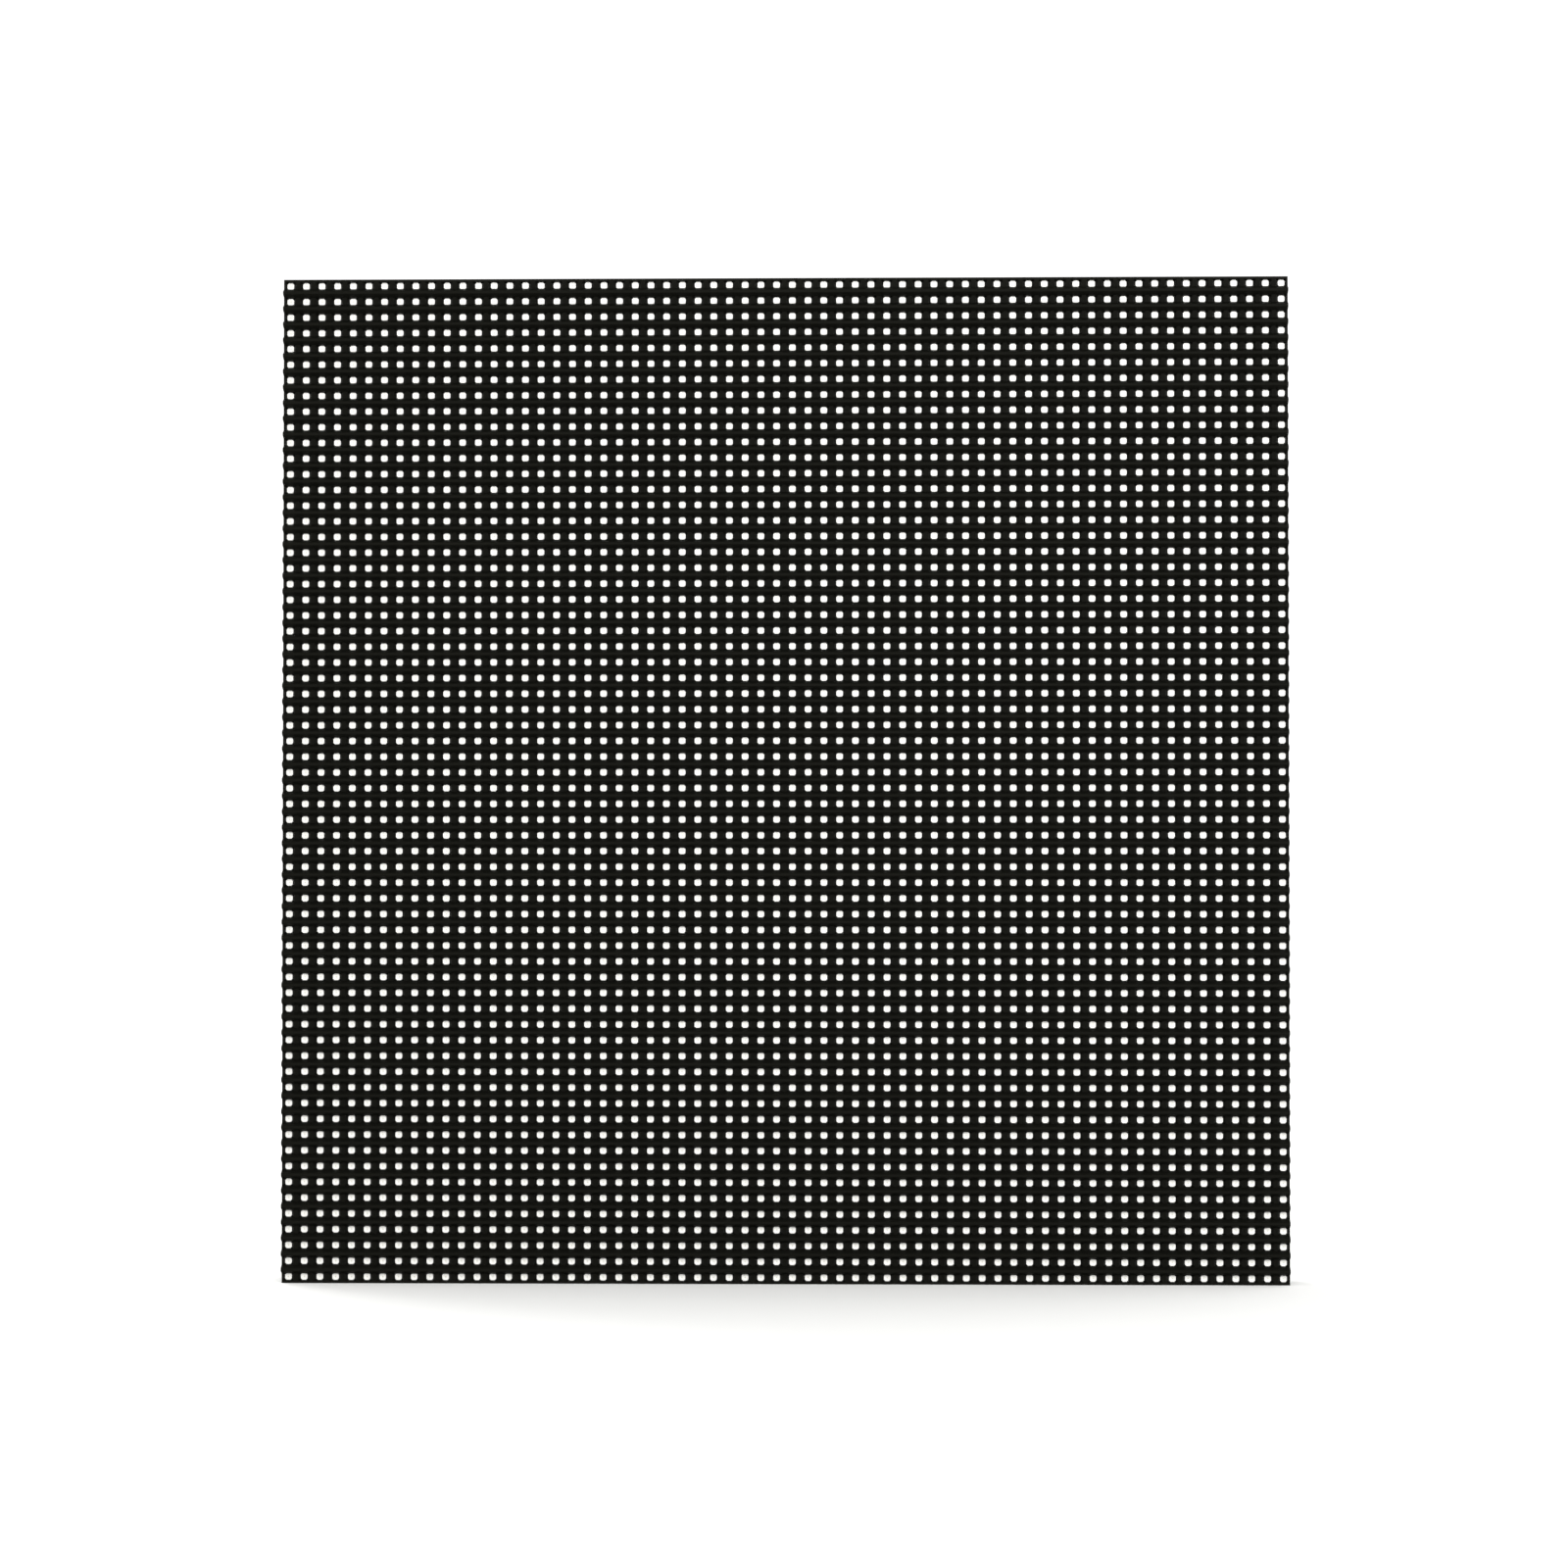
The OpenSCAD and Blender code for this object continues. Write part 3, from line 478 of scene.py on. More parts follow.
def cut_rectangle(width, depth, cut):
    """Eight corners of a rectangle in x and y with each corner cut off, anticlockwise."""
    w, d = width / 2, depth / 2
    return np.array([
        [w, -d + cut], [w, d - cut], [w - cut, d], [-w + cut, d],
        [-w, d - cut], [-w, -d + cut], [-w + cut, -d], [w - cut, -d],
    ])


def circle(segments):
    """Points round a circle of radius 1, as x and y."""
    turn = np.arange(segments) / segments * math.tau
    return np.column_stack([np.cos(turn), np.sin(turn)])


def at_height(outline, height):
    """A flat outline as a ring at one height."""
    return np.column_stack([outline, np.full(len(outline), height)])


def soft_block(width, depth, height, edge, base=0.0):
    """A block with every edge cut: four rings, the outer two drawn in by the edge."""
    inner = cut_rectangle(width - 2 * edge, depth - 2 * edge, edge)
    outer = cut_rectangle(width, depth, edge)
    levels = (base, base + edge, base + height - edge, base + height)
    return ring_stack([at_height(o, z) for o, z in zip((inner, outer, outer, inner), levels)])


def revolved(profile, segments):
    """A profile of radius and height, turned about the upright axis into one ring for each of its points."""
    radius, height = np.asarray(profile, float).T[..., None]
    flat = radius[..., None] * circle(segments)
    return np.dstack([flat, np.broadcast_to(height, flat.shape[:2])])


def on_rear(shape, places, turned=False, level=BOARD_HIGH.y):
    """A shape drawn standing on z = 0, set at places in x and z on the rear of the board or at another level.

    Its height runs along +Y and its own y along -Z. Turned ones go a quarter turn about their height first.
    """
    x, y, height = shape[0].T
    if turned:
        x, y = -y, x
    places = np.asarray(places, float)
    return repeat((rows_of(x, height, -y), shape[1]), rows_of(places[:, 0], level, places[:, 1]))


def strips(starts, ends, width, thick):
    """Thin flat bars on the rear of the board between points in x and z, square-ended by half a width.

    Upright bars are a little thicker than level ones, and slanting ones thicker still, so that no two that
    meet or cross have their tops in one plane.
    """
    sunk, upright_lift, slant_lift = -0.2, 0.1, 0.2
    starts, ends = np.reshape(starts, (-1, 2)), np.reshape(ends, (-1, 2))
    way = (ends - starts) / np.linalg.norm(ends - starts, axis=1, keepdims=True)
    lift = 1 + upright_lift * np.abs(way[:, 1]) + slant_lift * np.abs(way[:, 0] * way[:, 1])
    along = way * width / 2
    across = along[:, ::-1] * [-1.0, 1.0]
    corners = np.stack([
        starts - along - across, ends + along - across, ends + along + across, starts - along + across,
    ], axis=1)
    levels = np.column_stack([np.full_like(lift, sunk), lift]) * thick + BOARD_HIGH.y
    points = rows_of(corners[:, None, :, 0], levels[:, :, None], corners[:, None, :, 1])
    block, faces = ring_stack(np.zeros((2, 4, 3)))
    return points, copied(faces, len(starts), len(block))


def added(name, data):
    """A new object in the scene."""
    made = bpy.data.objects.new(name, data)
    bpy.context.scene.collection.objects.link(made)
    return made


def piece(name, shape, material, replaces=(), smooth_below=None):
    """Puts a shape into a mesh at the origin, turns its faces outwards, and lets it ride on the module.

    Edges that bend by less than smooth_below, in degrees, are shaded smooth. Without it every face is flat.
    """
    points, faces = shape
    mesh = bpy.data.meshes.new(name)
    corners = np.concatenate([f.ravel() for f in faces]).astype(np.int32)
    sizes = np.concatenate([np.full(len(f), f.shape[1]) for f in faces])
    starts = np.concatenate([[0], np.cumsum(sizes)[:-1]]).astype(np.int32)
    mesh.vertices.add(len(points))
    mesh.vertices.foreach_set("co", np.ascontiguousarray(points, dtype=np.float32).ravel())
    mesh.loops.add(len(corners))
    mesh.loops.foreach_set("vertex_index", corners)
    mesh.polygons.add(len(starts))
    mesh.polygons.foreach_set("loop_start", starts)
    mesh.update(calc_edges=True)
    if mesh.validate():
        raise RuntimeError(f"{name} has faces that are not valid")
    work = bmesh.new()
    work.from_mesh(mesh)
    bmesh.ops.recalc_face_normals(work, faces=work.faces)
    work.to_mesh(mesh)
    work.free()
    if smooth_below is None:
        mesh.shade_flat()
    else:
        mesh.set_sharp_from_angle(angle=math.radians(smooth_below))
    mesh.materials.append(finish(material))
    made = added(name, mesh)
    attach(made, BODY)
    if replaces:
        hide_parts(*replaces)
    return made


def point_attribute(made, name, values):
    """Stores one number for each vertex of a piece."""
    made.data.attributes.new(name, "FLOAT", "POINT").data.foreach_set("value", np.asarray(values, np.float32))


def dress(node, material, edge=None):
    """Gives a solid that keeps its own shape a finish, and may round its edges for the light to catch."""
    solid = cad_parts[node]
    solid.data.materials.clear()
    solid.data.materials.append(finish(material))
    if edge is None:
        return
    weld = solid.modifiers.new("weld", "WELD")
    weld.merge_threshold = 0.002 * MM
    bevel = solid.modifiers.new("edges", "BEVEL")
    bevel.width = edge
    bevel.segments = 2
    bevel.limit_method = "ANGLE"
    bevel.angle_limit = math.radians(40)
    bevel.harden_normals = False


def node_names(stem):
    """The frame's nodes of one kind, in order."""
    return sorted(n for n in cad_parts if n.startswith(stem))


def plan_boxes(names):
    """Low and high corners of nodes, as x and z."""
    return np.array([[(corner.x, corner.z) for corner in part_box(n)] for n in names]).transpose(1, 0, 2)


def middles(stem):
    """Middles of the nodes of one kind, as x and z."""
    return plan_boxes(node_names(stem)).mean(axis=0)


def lamp_size(grid):
    """Side of a lamp: what the row's length leaves over after its pitches."""
    return LAMPS_HIGH.x - LAMPS_LOW.x - (grid.lamps - 1) * grid.pitch


def mask_shape(grid):
    """The louvred mask as one closed surface.

    A rear plane with a square window at each lamp; straight window walls up to the lamps' tops; upright bars
    that taper from there to a flat crest; and louvres that rise from the level of that crest, taper to a
    higher crest and run from side to side. Stations across are the rim's edge, then for each lamp left crest
    edge, window, window and right crest edge, and the other edge of the rim. A louvre's crest has one vertex
    for each bar, and its slopes fan out to the stations below.
    """
    n = grid.lamps
    middle = spaced(n, grid.pitch)
    window = lamp_size(grid) / 2 + grid.window_room
    half = MASK_HIGH.x
    low_y = LAMPS_LOW.y - grid.window_room
    crest_y = low_y - grid.upright_depth
    top_y = MASK_LOW.y

    crest_off = grid.pitch / 2 - grid.upright_crest / 2
    across = rows_of(middle - crest_off, middle - window, middle + window, middle + crest_off).ravel()
    across[0], across[-1] = -half + grid.rim_flat, half - grid.rim_flat
    across = np.concatenate([[-half], across, [half]])
    walls = rows_of(middle - window, middle + window).ravel()
    plan = np.concatenate([[-half], walls, [half]])
    bars = np.concatenate([[-half], (middle[1:] + middle[:-1]) / 2, [half]])
    crest_h, soft = grid.louvre_crest / 2, grid.crest_round
    louvre_z = (bars[1:-1, None] + [-crest_h, soft - crest_h, crest_h - soft, crest_h]).ravel()
    louvre_y = np.tile([top_y + soft, top_y, top_y, top_y + soft], n - 1)

    blocks = [
        rows_of(plan, BOARD_LOW.y - grid.board_room, plan[:, None]),
        rows_of(walls, low_y, walls[:, None]),
        rows_of(across, crest_y, walls[:, None]),
        rows_of(bars, louvre_y[:, None], louvre_z[:, None]),
        rows_of(bars, crest_y, np.array([[-half], [half]])),
    ]
    layouts = ((2 * n + 2, 2 * n + 2), (n, 2, n, 2), (n, 2, 4 * n + 2), (n - 1, 4, n + 1), (2, n + 1))
    first = np.cumsum([0] + [len(b) for b in blocks])
    rear, low, crest, louvre, rim = (
        start + np.arange(len(b)).reshape(layout) for start, b, layout in zip(first, blocks, layouts)
    )
    left, right, lower, upper = 0, 1, 0, 1
    crest_left, window_left, window_right, crest_right = range(4)

    solid = np.ones((2 * n + 1, 2 * n + 1), bool)
    solid[1::2, 1::2] = False
    plane = rows_of(rear[:-1, :-1], rear[:-1, 1:], rear[1:, 1:], rear[1:, :-1])
    foot = rear[1:-1, 1:-1].reshape(n, 2, n, 2)
    station = crest[:, :, 1:-1].reshape(n, 2, n, 4)
    flats = crest[..., 0::4], crest[..., 1::4]
    faces = [
        plane[solid.ravel()],
        rows_of(foot[..., left], foot[..., right], low[..., right], low[..., left]),
        rows_of(low[..., left], low[..., right], station[..., window_right], station[..., window_left]),
        rows_of(flats[left][:, lower], flats[right][:, lower], flats[right][:, upper], flats[left][:, upper]),
        rows_of(louvre[:, :-1, :-1], louvre[:, :-1, 1:], louvre[:, 1:, 1:], louvre[:, 1:, :-1]),
    ]
    for side, inner, outer in ((left, window_left, crest_left), (right, window_right, crest_right)):
        under, over, slope = foot[..., side], low[..., side], station[..., outer]
        faces += [
            rows_of(under[:, lower], under[:, upper], over[:, upper], over[:, lower]),
            rows_of(over[:, lower], over[:, upper], slope[:, upper], slope[:, lower]),
            rows_of(over, station[..., inner], slope),
        ]
    for line, under in (
        (np.concatenate([rim[:1], louvre[:, -1]]), crest[:, lower]),
        (np.concatenate([louvre[:, 0], rim[1:]]), crest[:, upper]),
    ):
        cell = np.moveaxis(under[:, 1:-1].reshape(n, n, 4), -1, 0)
        start, end = line[:, :-1], line[:, 1:]
        faces += [
            rows_of(start, cell[crest_left], cell[window_left]),
            rows_of(start, cell[window_left], cell[window_right]),
            rows_of(start, cell[window_right], end),
            rows_of(end, cell[window_right], cell[crest_right]),
            rows_of(line, under[:, 0::4], under[:, 1::4]),
        ]
    for edge in (0, -1):
        front, back = crest[:, :, edge], rear[:, edge]
        rows = back[1:-1].reshape(n, 2)
        ends = (front[:-1, upper], *louvre[:, :, edge].T, front[1:, lower], rows[1:, lower], rows[:-1, upper])
        faces += [
            rows_of(front[:, lower], front[:, upper], rows[:, upper], rows[:, lower]),
            rows_of(*ends),
            rows_of(rim[0, edge], front[0, lower], rows[0, lower], back[0]),
            rows_of(front[-1, upper], rim[1, edge], back[-1], rows[-1, upper]),
        ]
        line, back = rim[edge], rear[edge]
        pairs = back[1:-1].reshape(n, 2)
        faces += [
            rows_of(line[:-1], line[1:], pairs[:, right], pairs[:, left]),
            rows_of(line, back[0::2], back[1::2]),
        ]
    return np.concatenate(blocks), faces


def lamp_shapes(grid):
    """One lamp's housing and its resin, standing on y = 0 with the front along -Y.

    The housing is a square block with cut corners, and its top falls into a dish that narrows to the middle.
    The resin fills the dish and dips in the middle. Returns both shapes and the resin's shade at each of its
    vertices.
    """
    fill_share, rim_drop, floor_room = 0.985, 0.4 * grid.meniscus, 0.2 * grid.meniscus
    side, tall = lamp_size(grid), BOARD_LOW.y - LAMPS_LOW.y
    outer = cut_rectangle(side, side, grid.housing_cut)
    mouth = cut_rectangle(grid.dish, grid.dish, grid.dish_cut)
    deep = tall - grid.dish_depth

    def front(outline, height):
        """A flat outline as a ring at one height, with its y turned to z and its height along -Y."""
        return rows_of(outline[:, 0], -height, outline[:, 1])

    n = len(outer)
    ring = np.arange(n)
    on = np.roll(ring, -1)
    points = np.concatenate([front(outer, 0.0), front(outer, tall), front(mouth, tall), [[0.0, -deep, 0.0]]])
    housing = points, [
        ring[None, ::-1],
        rows_of(ring, on, on + n, ring + n),
        rows_of(ring + n, on + n, on + 2 * n, ring + 2 * n),
        rows_of(ring + 2 * n, on + 2 * n, 3 * n),
    ]
    level = tall - rim_drop
    poles = [[0.0, grid.meniscus - level, 0.0], [0.0, -deep - floor_room, 0.0]]
    points = np.concatenate([front(mouth * fill_share, level), poles])
    resin = points, [rows_of(ring, on, n), rows_of(on, ring, n + 1)]
    return housing, resin, (np.arange(n + 2) == n).astype(float)


def chip_axes(form):
    """Directions along a chip's long side and across it."""
    return (UPRIGHT, LEVEL) if form.upright else (LEVEL, UPRIGHT)


def chip_sizes(form):
    """Length over the body, width over the leads and height of a chip, from its node."""
    low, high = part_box(node_names(form.stem)[0])
    extent = high - low
    long, span = (extent.z, extent.x) if form.upright else (extent.x, extent.z)
    return long, span, high.y - BOARD_HIGH.y


def chip_body(form, long, tall, rear):
    """A chip's body, long side along x: rings at foot, below and above the leads, at upper edge and top.

    The draft draws them in away from the leads. Every ring has its corners and two points on the line that
    splits the top into two flats. The flat at the left has a round dimple: triangles fan from its corners to
    the circle.
    """
    line, edge, draft = (tall + rear.chip_standoff) / 2, rear.chip_edge, rear.chip_draft
    upper_draft, dimple_deep, dimple_at, arc = 0.8, 0.06 * MM, np.array([0.3, -0.2]), 4
    levels = (
        (rear.chip_standoff, draft), (line, 0.0), (line + rear.lead_thick, 0.0),
        (tall - edge, draft * upper_draft), (tall, draft + edge),
    )
    width = form.width - 2 * (draft + edge)
    near = -long / 2 + draft + edge
    split = near + width

    def ring(height, inset):
        """One ring at a height, drawn in on all sides."""
        w, d = long / 2 - inset, form.width / 2 - inset
        return at_height(np.array([[w, -d], [w, d], [split, d], [-w, d], [-w, -d], [split, -d]]), height)

    points, (sides, foot, top) = ring_stack([ring(*level) for level in levels])
    marked = top[0, 2:]
    outline = dimple_at * width + [near, 0.0] + rear.dimple * circle(4 * arc)
    rim = len(points) + np.arange(len(outline))
    sunk = rim + len(rim)
    faces = [
        sides, foot, top[:, [0, 1, 2, -1]],
        rows_of(rim, np.roll(rim, -1), np.repeat(marked, arc)),
        rows_of(np.roll(rim[::arc], -1), np.roll(marked, -1), marked),
        rows_of(rim, np.roll(rim, -1), np.roll(sunk, -1), sunk),
        sunk[None],
    ]
    return np.concatenate([points, at_height(outline, tall), at_height(outline, tall - dimple_deep)]), faces


def chip_lead(form, span, tall, rear):
    """One lead, running along +y from the body to its foot.

    Its middle line falls from the mould line to the board by a smooth step, with a flat section along it.
    """
    reach = np.array([0.0, 0.24, 0.33, 0.42, 0.5, 0.58, 0.67, 1.0])
    fall_from, fall_over = 0.2, 0.5
    start, end = form.width / 2 - rear.chip_draft, span / 2
    y = start + (end - start) * reach
    step = np.clip((reach - fall_from) / fall_over, 0.0, 1.0)
    drop = step * step * (3 - 2 * step)
    thick, w = rear.lead_thick, form.lead_width / 2
    high = (tall + rear.chip_standoff) / 2 + thick / 2
    z = high + (thick / 2 - high) * drop
    slope = np.gradient(z, y)
    lean = np.array([-slope, np.ones_like(slope)]) / np.hypot(1.0, slope) * thick / 2
    below = y - lean[0], np.maximum(z - lean[1], 0.0)
    above = y + lean[0], z + lean[1]
    corners = ((-w, below), (w, below), (w, above), (-w, above))
    return ring_stack(np.stack([rows_of(x, *line) for x, line in corners], axis=1))


def lead_steps(form):
    """Places of a chip's leads along one of its long sides."""
    return spaced(form.leads, form.lead_pitch)


def both_sides(shape, steps):
    """A shape on +y repeated along x, and the same again on the other side, turned about the upright axis."""
    points, faces = repeat(shape, rows_of(steps, 0.0, 0.0))
    return joined((points, faces), (points * [-1.0, -1.0, 1.0], faces))


def lead_feet(form):
    """Ends of all leads of a family and the way each points, as x and z, in lists by chip, side and lead."""
    along, across = chip_axes(form)
    _, span, _ = chip_sizes(form)
    way = np.array([[across], [-across]])
    feet = middles(form.stem)[:, None, None] + way * span / 2 + lead_steps(form)[:, None] * along
    return feet, np.broadcast_to(way, feet.shape), along


def part_places(rear):
    """Places of the chip parts as x and z by node, first the level ones, then the upright ones.

    Capacitors lie at one end of a driver, resistors at the other end of a column driver and in a row at the
    data input.
    """
    half_width = rear.chip_part / 4
    off = {f.stem: chip_sizes(f)[0] / 2 + rear.chip_part_gap + half_width for f in CHIP_FORMS}
    column, rise = middles("column_driver"), UPRIGHT * off["column_driver"]
    beside = np.concatenate([middles(stem) + LEVEL * off[stem] for stem in ("scan_driver", "buffer")])
    line_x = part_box("data_in_header")[1].x + rear.line_gap + rear.chip_part / 2
    line = rows_of(line_x, spaced(rear.line_resistors, rear.line_step))
    return {
        "ceramic_capacitors": (column + rise, beside),
        "chip_resistors": (np.concatenate([column - rise, line]), np.empty((0, 2))),
    }


def can_shape(rear, tall):
    """A can: straight sides with a rolled crimp near the foot, a rounded rim and a slightly sunk top.

    The crimp is a dip of the radius that fades out as a bell curve above and below. Returns the shape, and
    how far each vertex of its top lies towards the marked side.
    """
    segments, stations, arc = 48, 22, 5
    radius, foot, rim = rear.can_radius, rear.can_base, 0.5 * MM
    crimp, crimp_at, crimp_spread = 0.3 * MM, foot + 1.5 * MM, 0.28 * MM
    lip, sunk_edge, sink, flat_share, mark_depth = 0.75 * MM, 0.9 * MM, 0.08 * MM, 0.3, 0.3 * MM
    z = np.linspace(foot, tall - rim, stations)
    dip = crimp * np.exp(-(((z - crimp_at) / crimp_spread) ** 2))
    turn = np.linspace(0.0, math.pi / 2, arc + 1)[1:]
    shape = ring_stack(revolved(np.concatenate([
        rows_of(radius - dip, z),
        rows_of(radius - rim + rim * np.cos(turn), tall - rim + rim * np.sin(turn)),
        [[radius - lip, tall], [radius - sunk_edge, tall - sink], [radius * flat_share, tall - sink]],
    ]), segments))
    _, y, height = shape[0].T
    return shape, np.where(height > tall - mark_depth, -y / radius, -1.0)


def can_base_shape(rear, width):
    """A can's square base with two cut corners and its upper and lower edges drawn in."""
    half, cut, edge, draw = width / 2, 1.4 * MM, 0.12 * MM, 0.94
    outline = np.array([
        [-half, -half], [half, -half], [half, half - cut],
        [half - cut, half], [cut - half, half], [-half, half - cut],
    ])
    levels = ((draw, 0.0), (1.0, edge), (1.0, rear.can_base - edge), (draw, rear.can_base))
    return ring_stack([at_height(outline * share, z) for share, z in levels])


def can_lead_shape(rear, width, span):
    """The two flat leads of a can, which come out under its base and lie along the board, as bars along y."""
    long, edge = (span - width) / 2 + rear.can_lead, 0.04 * MM
    lead = soft_block(rear.can_lead, long, rear.lead_thick, edge)
    return repeat(lead, np.outer(SIDES, [0.0, (span - long) / 2, 0.0]))


def square_pin(side, tall, tip):
    """A square pin standing on z = 0, whose tip tapers over its last stretch."""
    tip_share = 0.45
    levels = ((side, 0.0), (side, tall - tip), (side * tip_share, tall))
    return ring_stack([at_height(rectangle(width, width), z) for width, z in levels])


def insert_shape(rear, deep):
    """A threaded insert standing on z = 0, open through its middle.

    The outside carries ridges round it, as shares of radius and depth. The bore's radius swings between root
    and crest as a triangle wave whose phase follows the angle, so that the ridge climbs by one thread pitch
    in a turn.
    """
    segments, levels, groove, flare = 40, 81, 0.27 * MM, 0.35 * MM
    wall = np.array([
        [0.92, 1.0], [1.0, 0.94], [1.0, 0.62], [0.93, 0.58],
        [0.93, 0.46], [1.0, 0.42], [1.0, 0.1], [0.92, 0.0],
    ])
    z = np.linspace(0.0, deep, levels)[:, None]
    phase = (z / rear.thread_pitch - np.arange(segments) / segments) % 1.0
    thread = groove * (1 - 2 * np.abs(phase - 0.5))
    lead_in = np.clip((z - deep + flare) / flare, 0.0, 1.0) * flare
    radius = rear.insert_bore + np.maximum(thread, lead_in)
    bore = np.dstack([radius[..., None] * circle(segments), np.broadcast_to(z, radius.shape)])
    outside = revolved(wall * [rear.insert_radius, deep], segments)
    return ring_stack(np.concatenate([bore, outside]), looped=True)


def screw_shape(rear, long):
    """A pan-head screw standing head up with its seat on z = 0.

    The head's height falls with a power of the radius. Two crossed slots with sloping sides are sunk into it,
    deeper towards the middle. The shank's radius swings along it as a thread does, and narrows to the point.
    """
    segments, head_rings, shank_rings = 64, 20, 60
    fall, fall_power, skirt, skirt_draw = 0.42, 2.6, 0.12 * MM, 0.97
    slot, arm = 0.2 * rear.head_radius, 0.62 * rear.head_radius
    slot_edge, slot_depth, slot_rise = 0.3 * slot, 0.6 * rear.head_height, 0.35
    neck, thread_pitch, thread_share, tip, tip_share = 0.05 * MM, 0.5 * MM, 0.06, 0.8 * MM, 0.25

    share = np.linspace(1.0, 0.0, head_rings, endpoint=False)[:, None]
    plan = rear.head_radius * share[..., None] * circle(segments)
    near, far = np.abs(plan).min(axis=-1), np.abs(plan).max(axis=-1)
    cut = np.clip((slot - near) / slot_edge, 0.0, 1.0) * np.clip((arm - far) / slot_edge, 0.0, 1.0)
    z = rear.head_height * (1 - fall * share ** fall_power) - slot_depth * cut * (1 - slot_rise * far / arm)
    head = np.dstack([plan, z])
    rim = revolved([[rear.head_radius * skirt_draw, 0.0], [rear.head_radius, skirt]], segments)
    depth = np.linspace(-long, -neck, shank_rings)
    swing = rear.shank_radius * (1 - thread_share + thread_share * np.cos(depth / thread_pitch * math.tau))
    point = np.clip((depth + long) / tip, tip_share, 1.0)
    shank = revolved(rows_of(swing * point, depth), segments)
    return ring_stack(np.concatenate([shank, rim, head]))


def board_tracks(rear):
    """Start and end points of the signal tracks and places of the plated holes, as x and z.

    Column drivers fan out: straight off a lead, aslant until the spacing has grown, straight on to a hole,
    with every second hole further out. Between scan drivers and between buffers, tracks join lead to lead.
    Bundles run across the board above and below its middle, and tracks lead from both data headers to holes.
    """
    lead_run, fan_share, fan_run, hole_step = 0.55 * MM, 0.42, 2.5 * MM, 0.9 * MM
    in_column, stub, stub_step = 4, 1.2 * MM, 0.8 * MM
    bundle, bundle_step, bundle_past = 7, 0.62 * MM, 9.0 * MM
    under_shroud, header_run, in_run, out_run = 0.6 * MM, 0.7 * MM, 8.4 * MM, 3.0 * MM
    starts, ends, holes = [], [], []

    def path(*points):
        """Tracks from each point of a list to the like one of the next list."""
        flat = [np.reshape(p, (-1, 2)) for p in points]
        starts.extend(flat[:-1])
        ends.extend(flat[1:])

    def to_hole(*points):
        """The same, with a plated hole at the end."""
        path(*points)
        holes.append(np.reshape(points[-1], (-1, 2)))

    def by_turns(number, near, step):
        """Distances of which every second one is a step further."""
        return near + step * (np.arange(number) % 2)

    form = CHIP_FORMS[0]
    feet, way, along = lead_feet(form)
    widen = fan_share * lead_steps(form)[:, None]
    lead = feet + way * lead_run
    hole = feet + way * by_turns(form.leads, fan_run, hole_step)[:, None] + along * widen
    to_hole(feet, lead, lead + way * np.abs(widen) + along * widen, hole)

    for form in CHIP_FORMS[1:]:
        feet, way, _ = lead_feet(form)
        chips = middles(form.stem)
        order = np.lexsort((chips[:, 1], np.round(chips[:, 0] / MM)))
        feet, way = (a[order].reshape(-1, in_column, *a.shape[1:]) for a in (feet, way))
        path(feet[:, :-1, 0], feet[:, 1:, 1])
        for row, side in ((0, 1), (-1, 0)):
            foot = feet[:, row, side]
            to_hole(foot, foot + way[:, row, side] * by_turns(form.leads, stub, stub_step)[:, None])

    column = np.abs(middles("column_driver"))
    reach = column[:, 0].max() + bundle_past
    for sign in SIDES:
        lines = sign * np.unique(np.round(column[:, 1], 6)).mean() + spaced(bundle, bundle_step)
        path(rows_of(-reach, lines), rows_of(reach, lines))

    number = 2 * rear.header_pins
    pins = spaced(number, rear.header_pitch / 2)
    wide = spaced(number, rear.line_step * rear.line_resistors / number)
    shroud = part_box("data_in_header")[1].x
    begin = shroud - under_shroud
    bend = begin + header_run + np.abs(pins - wide)
    into = shroud + by_turns(number, in_run, hole_step)
    to_hole(rows_of(begin, pins), rows_of(begin + header_run, pins), rows_of(bend, wide), rows_of(into, wide))
    to_hole(rows_of(-begin, pins), rows_of(-shroud - by_turns(number, out_run, hole_step), pins))
    return np.concatenate(starts), np.concatenate(ends), np.concatenate(holes)


def supply_copper():
    """Broad copper areas from the supply connector to the cans, as start and end points and their width."""
    wide, past = 7.5 * MM, 4 * MM
    x, z = np.abs(middles("reservoir_capacitor")).max(axis=0)
    bars = np.array([
        [[-x, -z - past], [-x, z + past]], [[x, -z - past], [x, z + past]],
        [[wide - x, 0.0], [-past, 0.0]], [[past, 0.0], [x - wide, 0.0]],
    ])
    return bars[:, 0], bars[:, 1], wide


def board_copper(rear):
    """Tracks, supply areas a little lower, and plated holes with their profile in shares of their ring."""
    area_share, segments = 0.8, 12
    hole = np.array([[1.0, -0.2], [1.0, 1.6], [0.5, 0.6]]) * [rear.via_radius, rear.print_thick]
    starts, ends, holes = board_tracks(rear)
    return joined(
        strips(starts, ends, rear.track_width, rear.print_thick),
        strips(*supply_copper(), area_share * rear.print_thick),
        on_rear(ring_stack(revolved(hole, segments)), holes),
    )


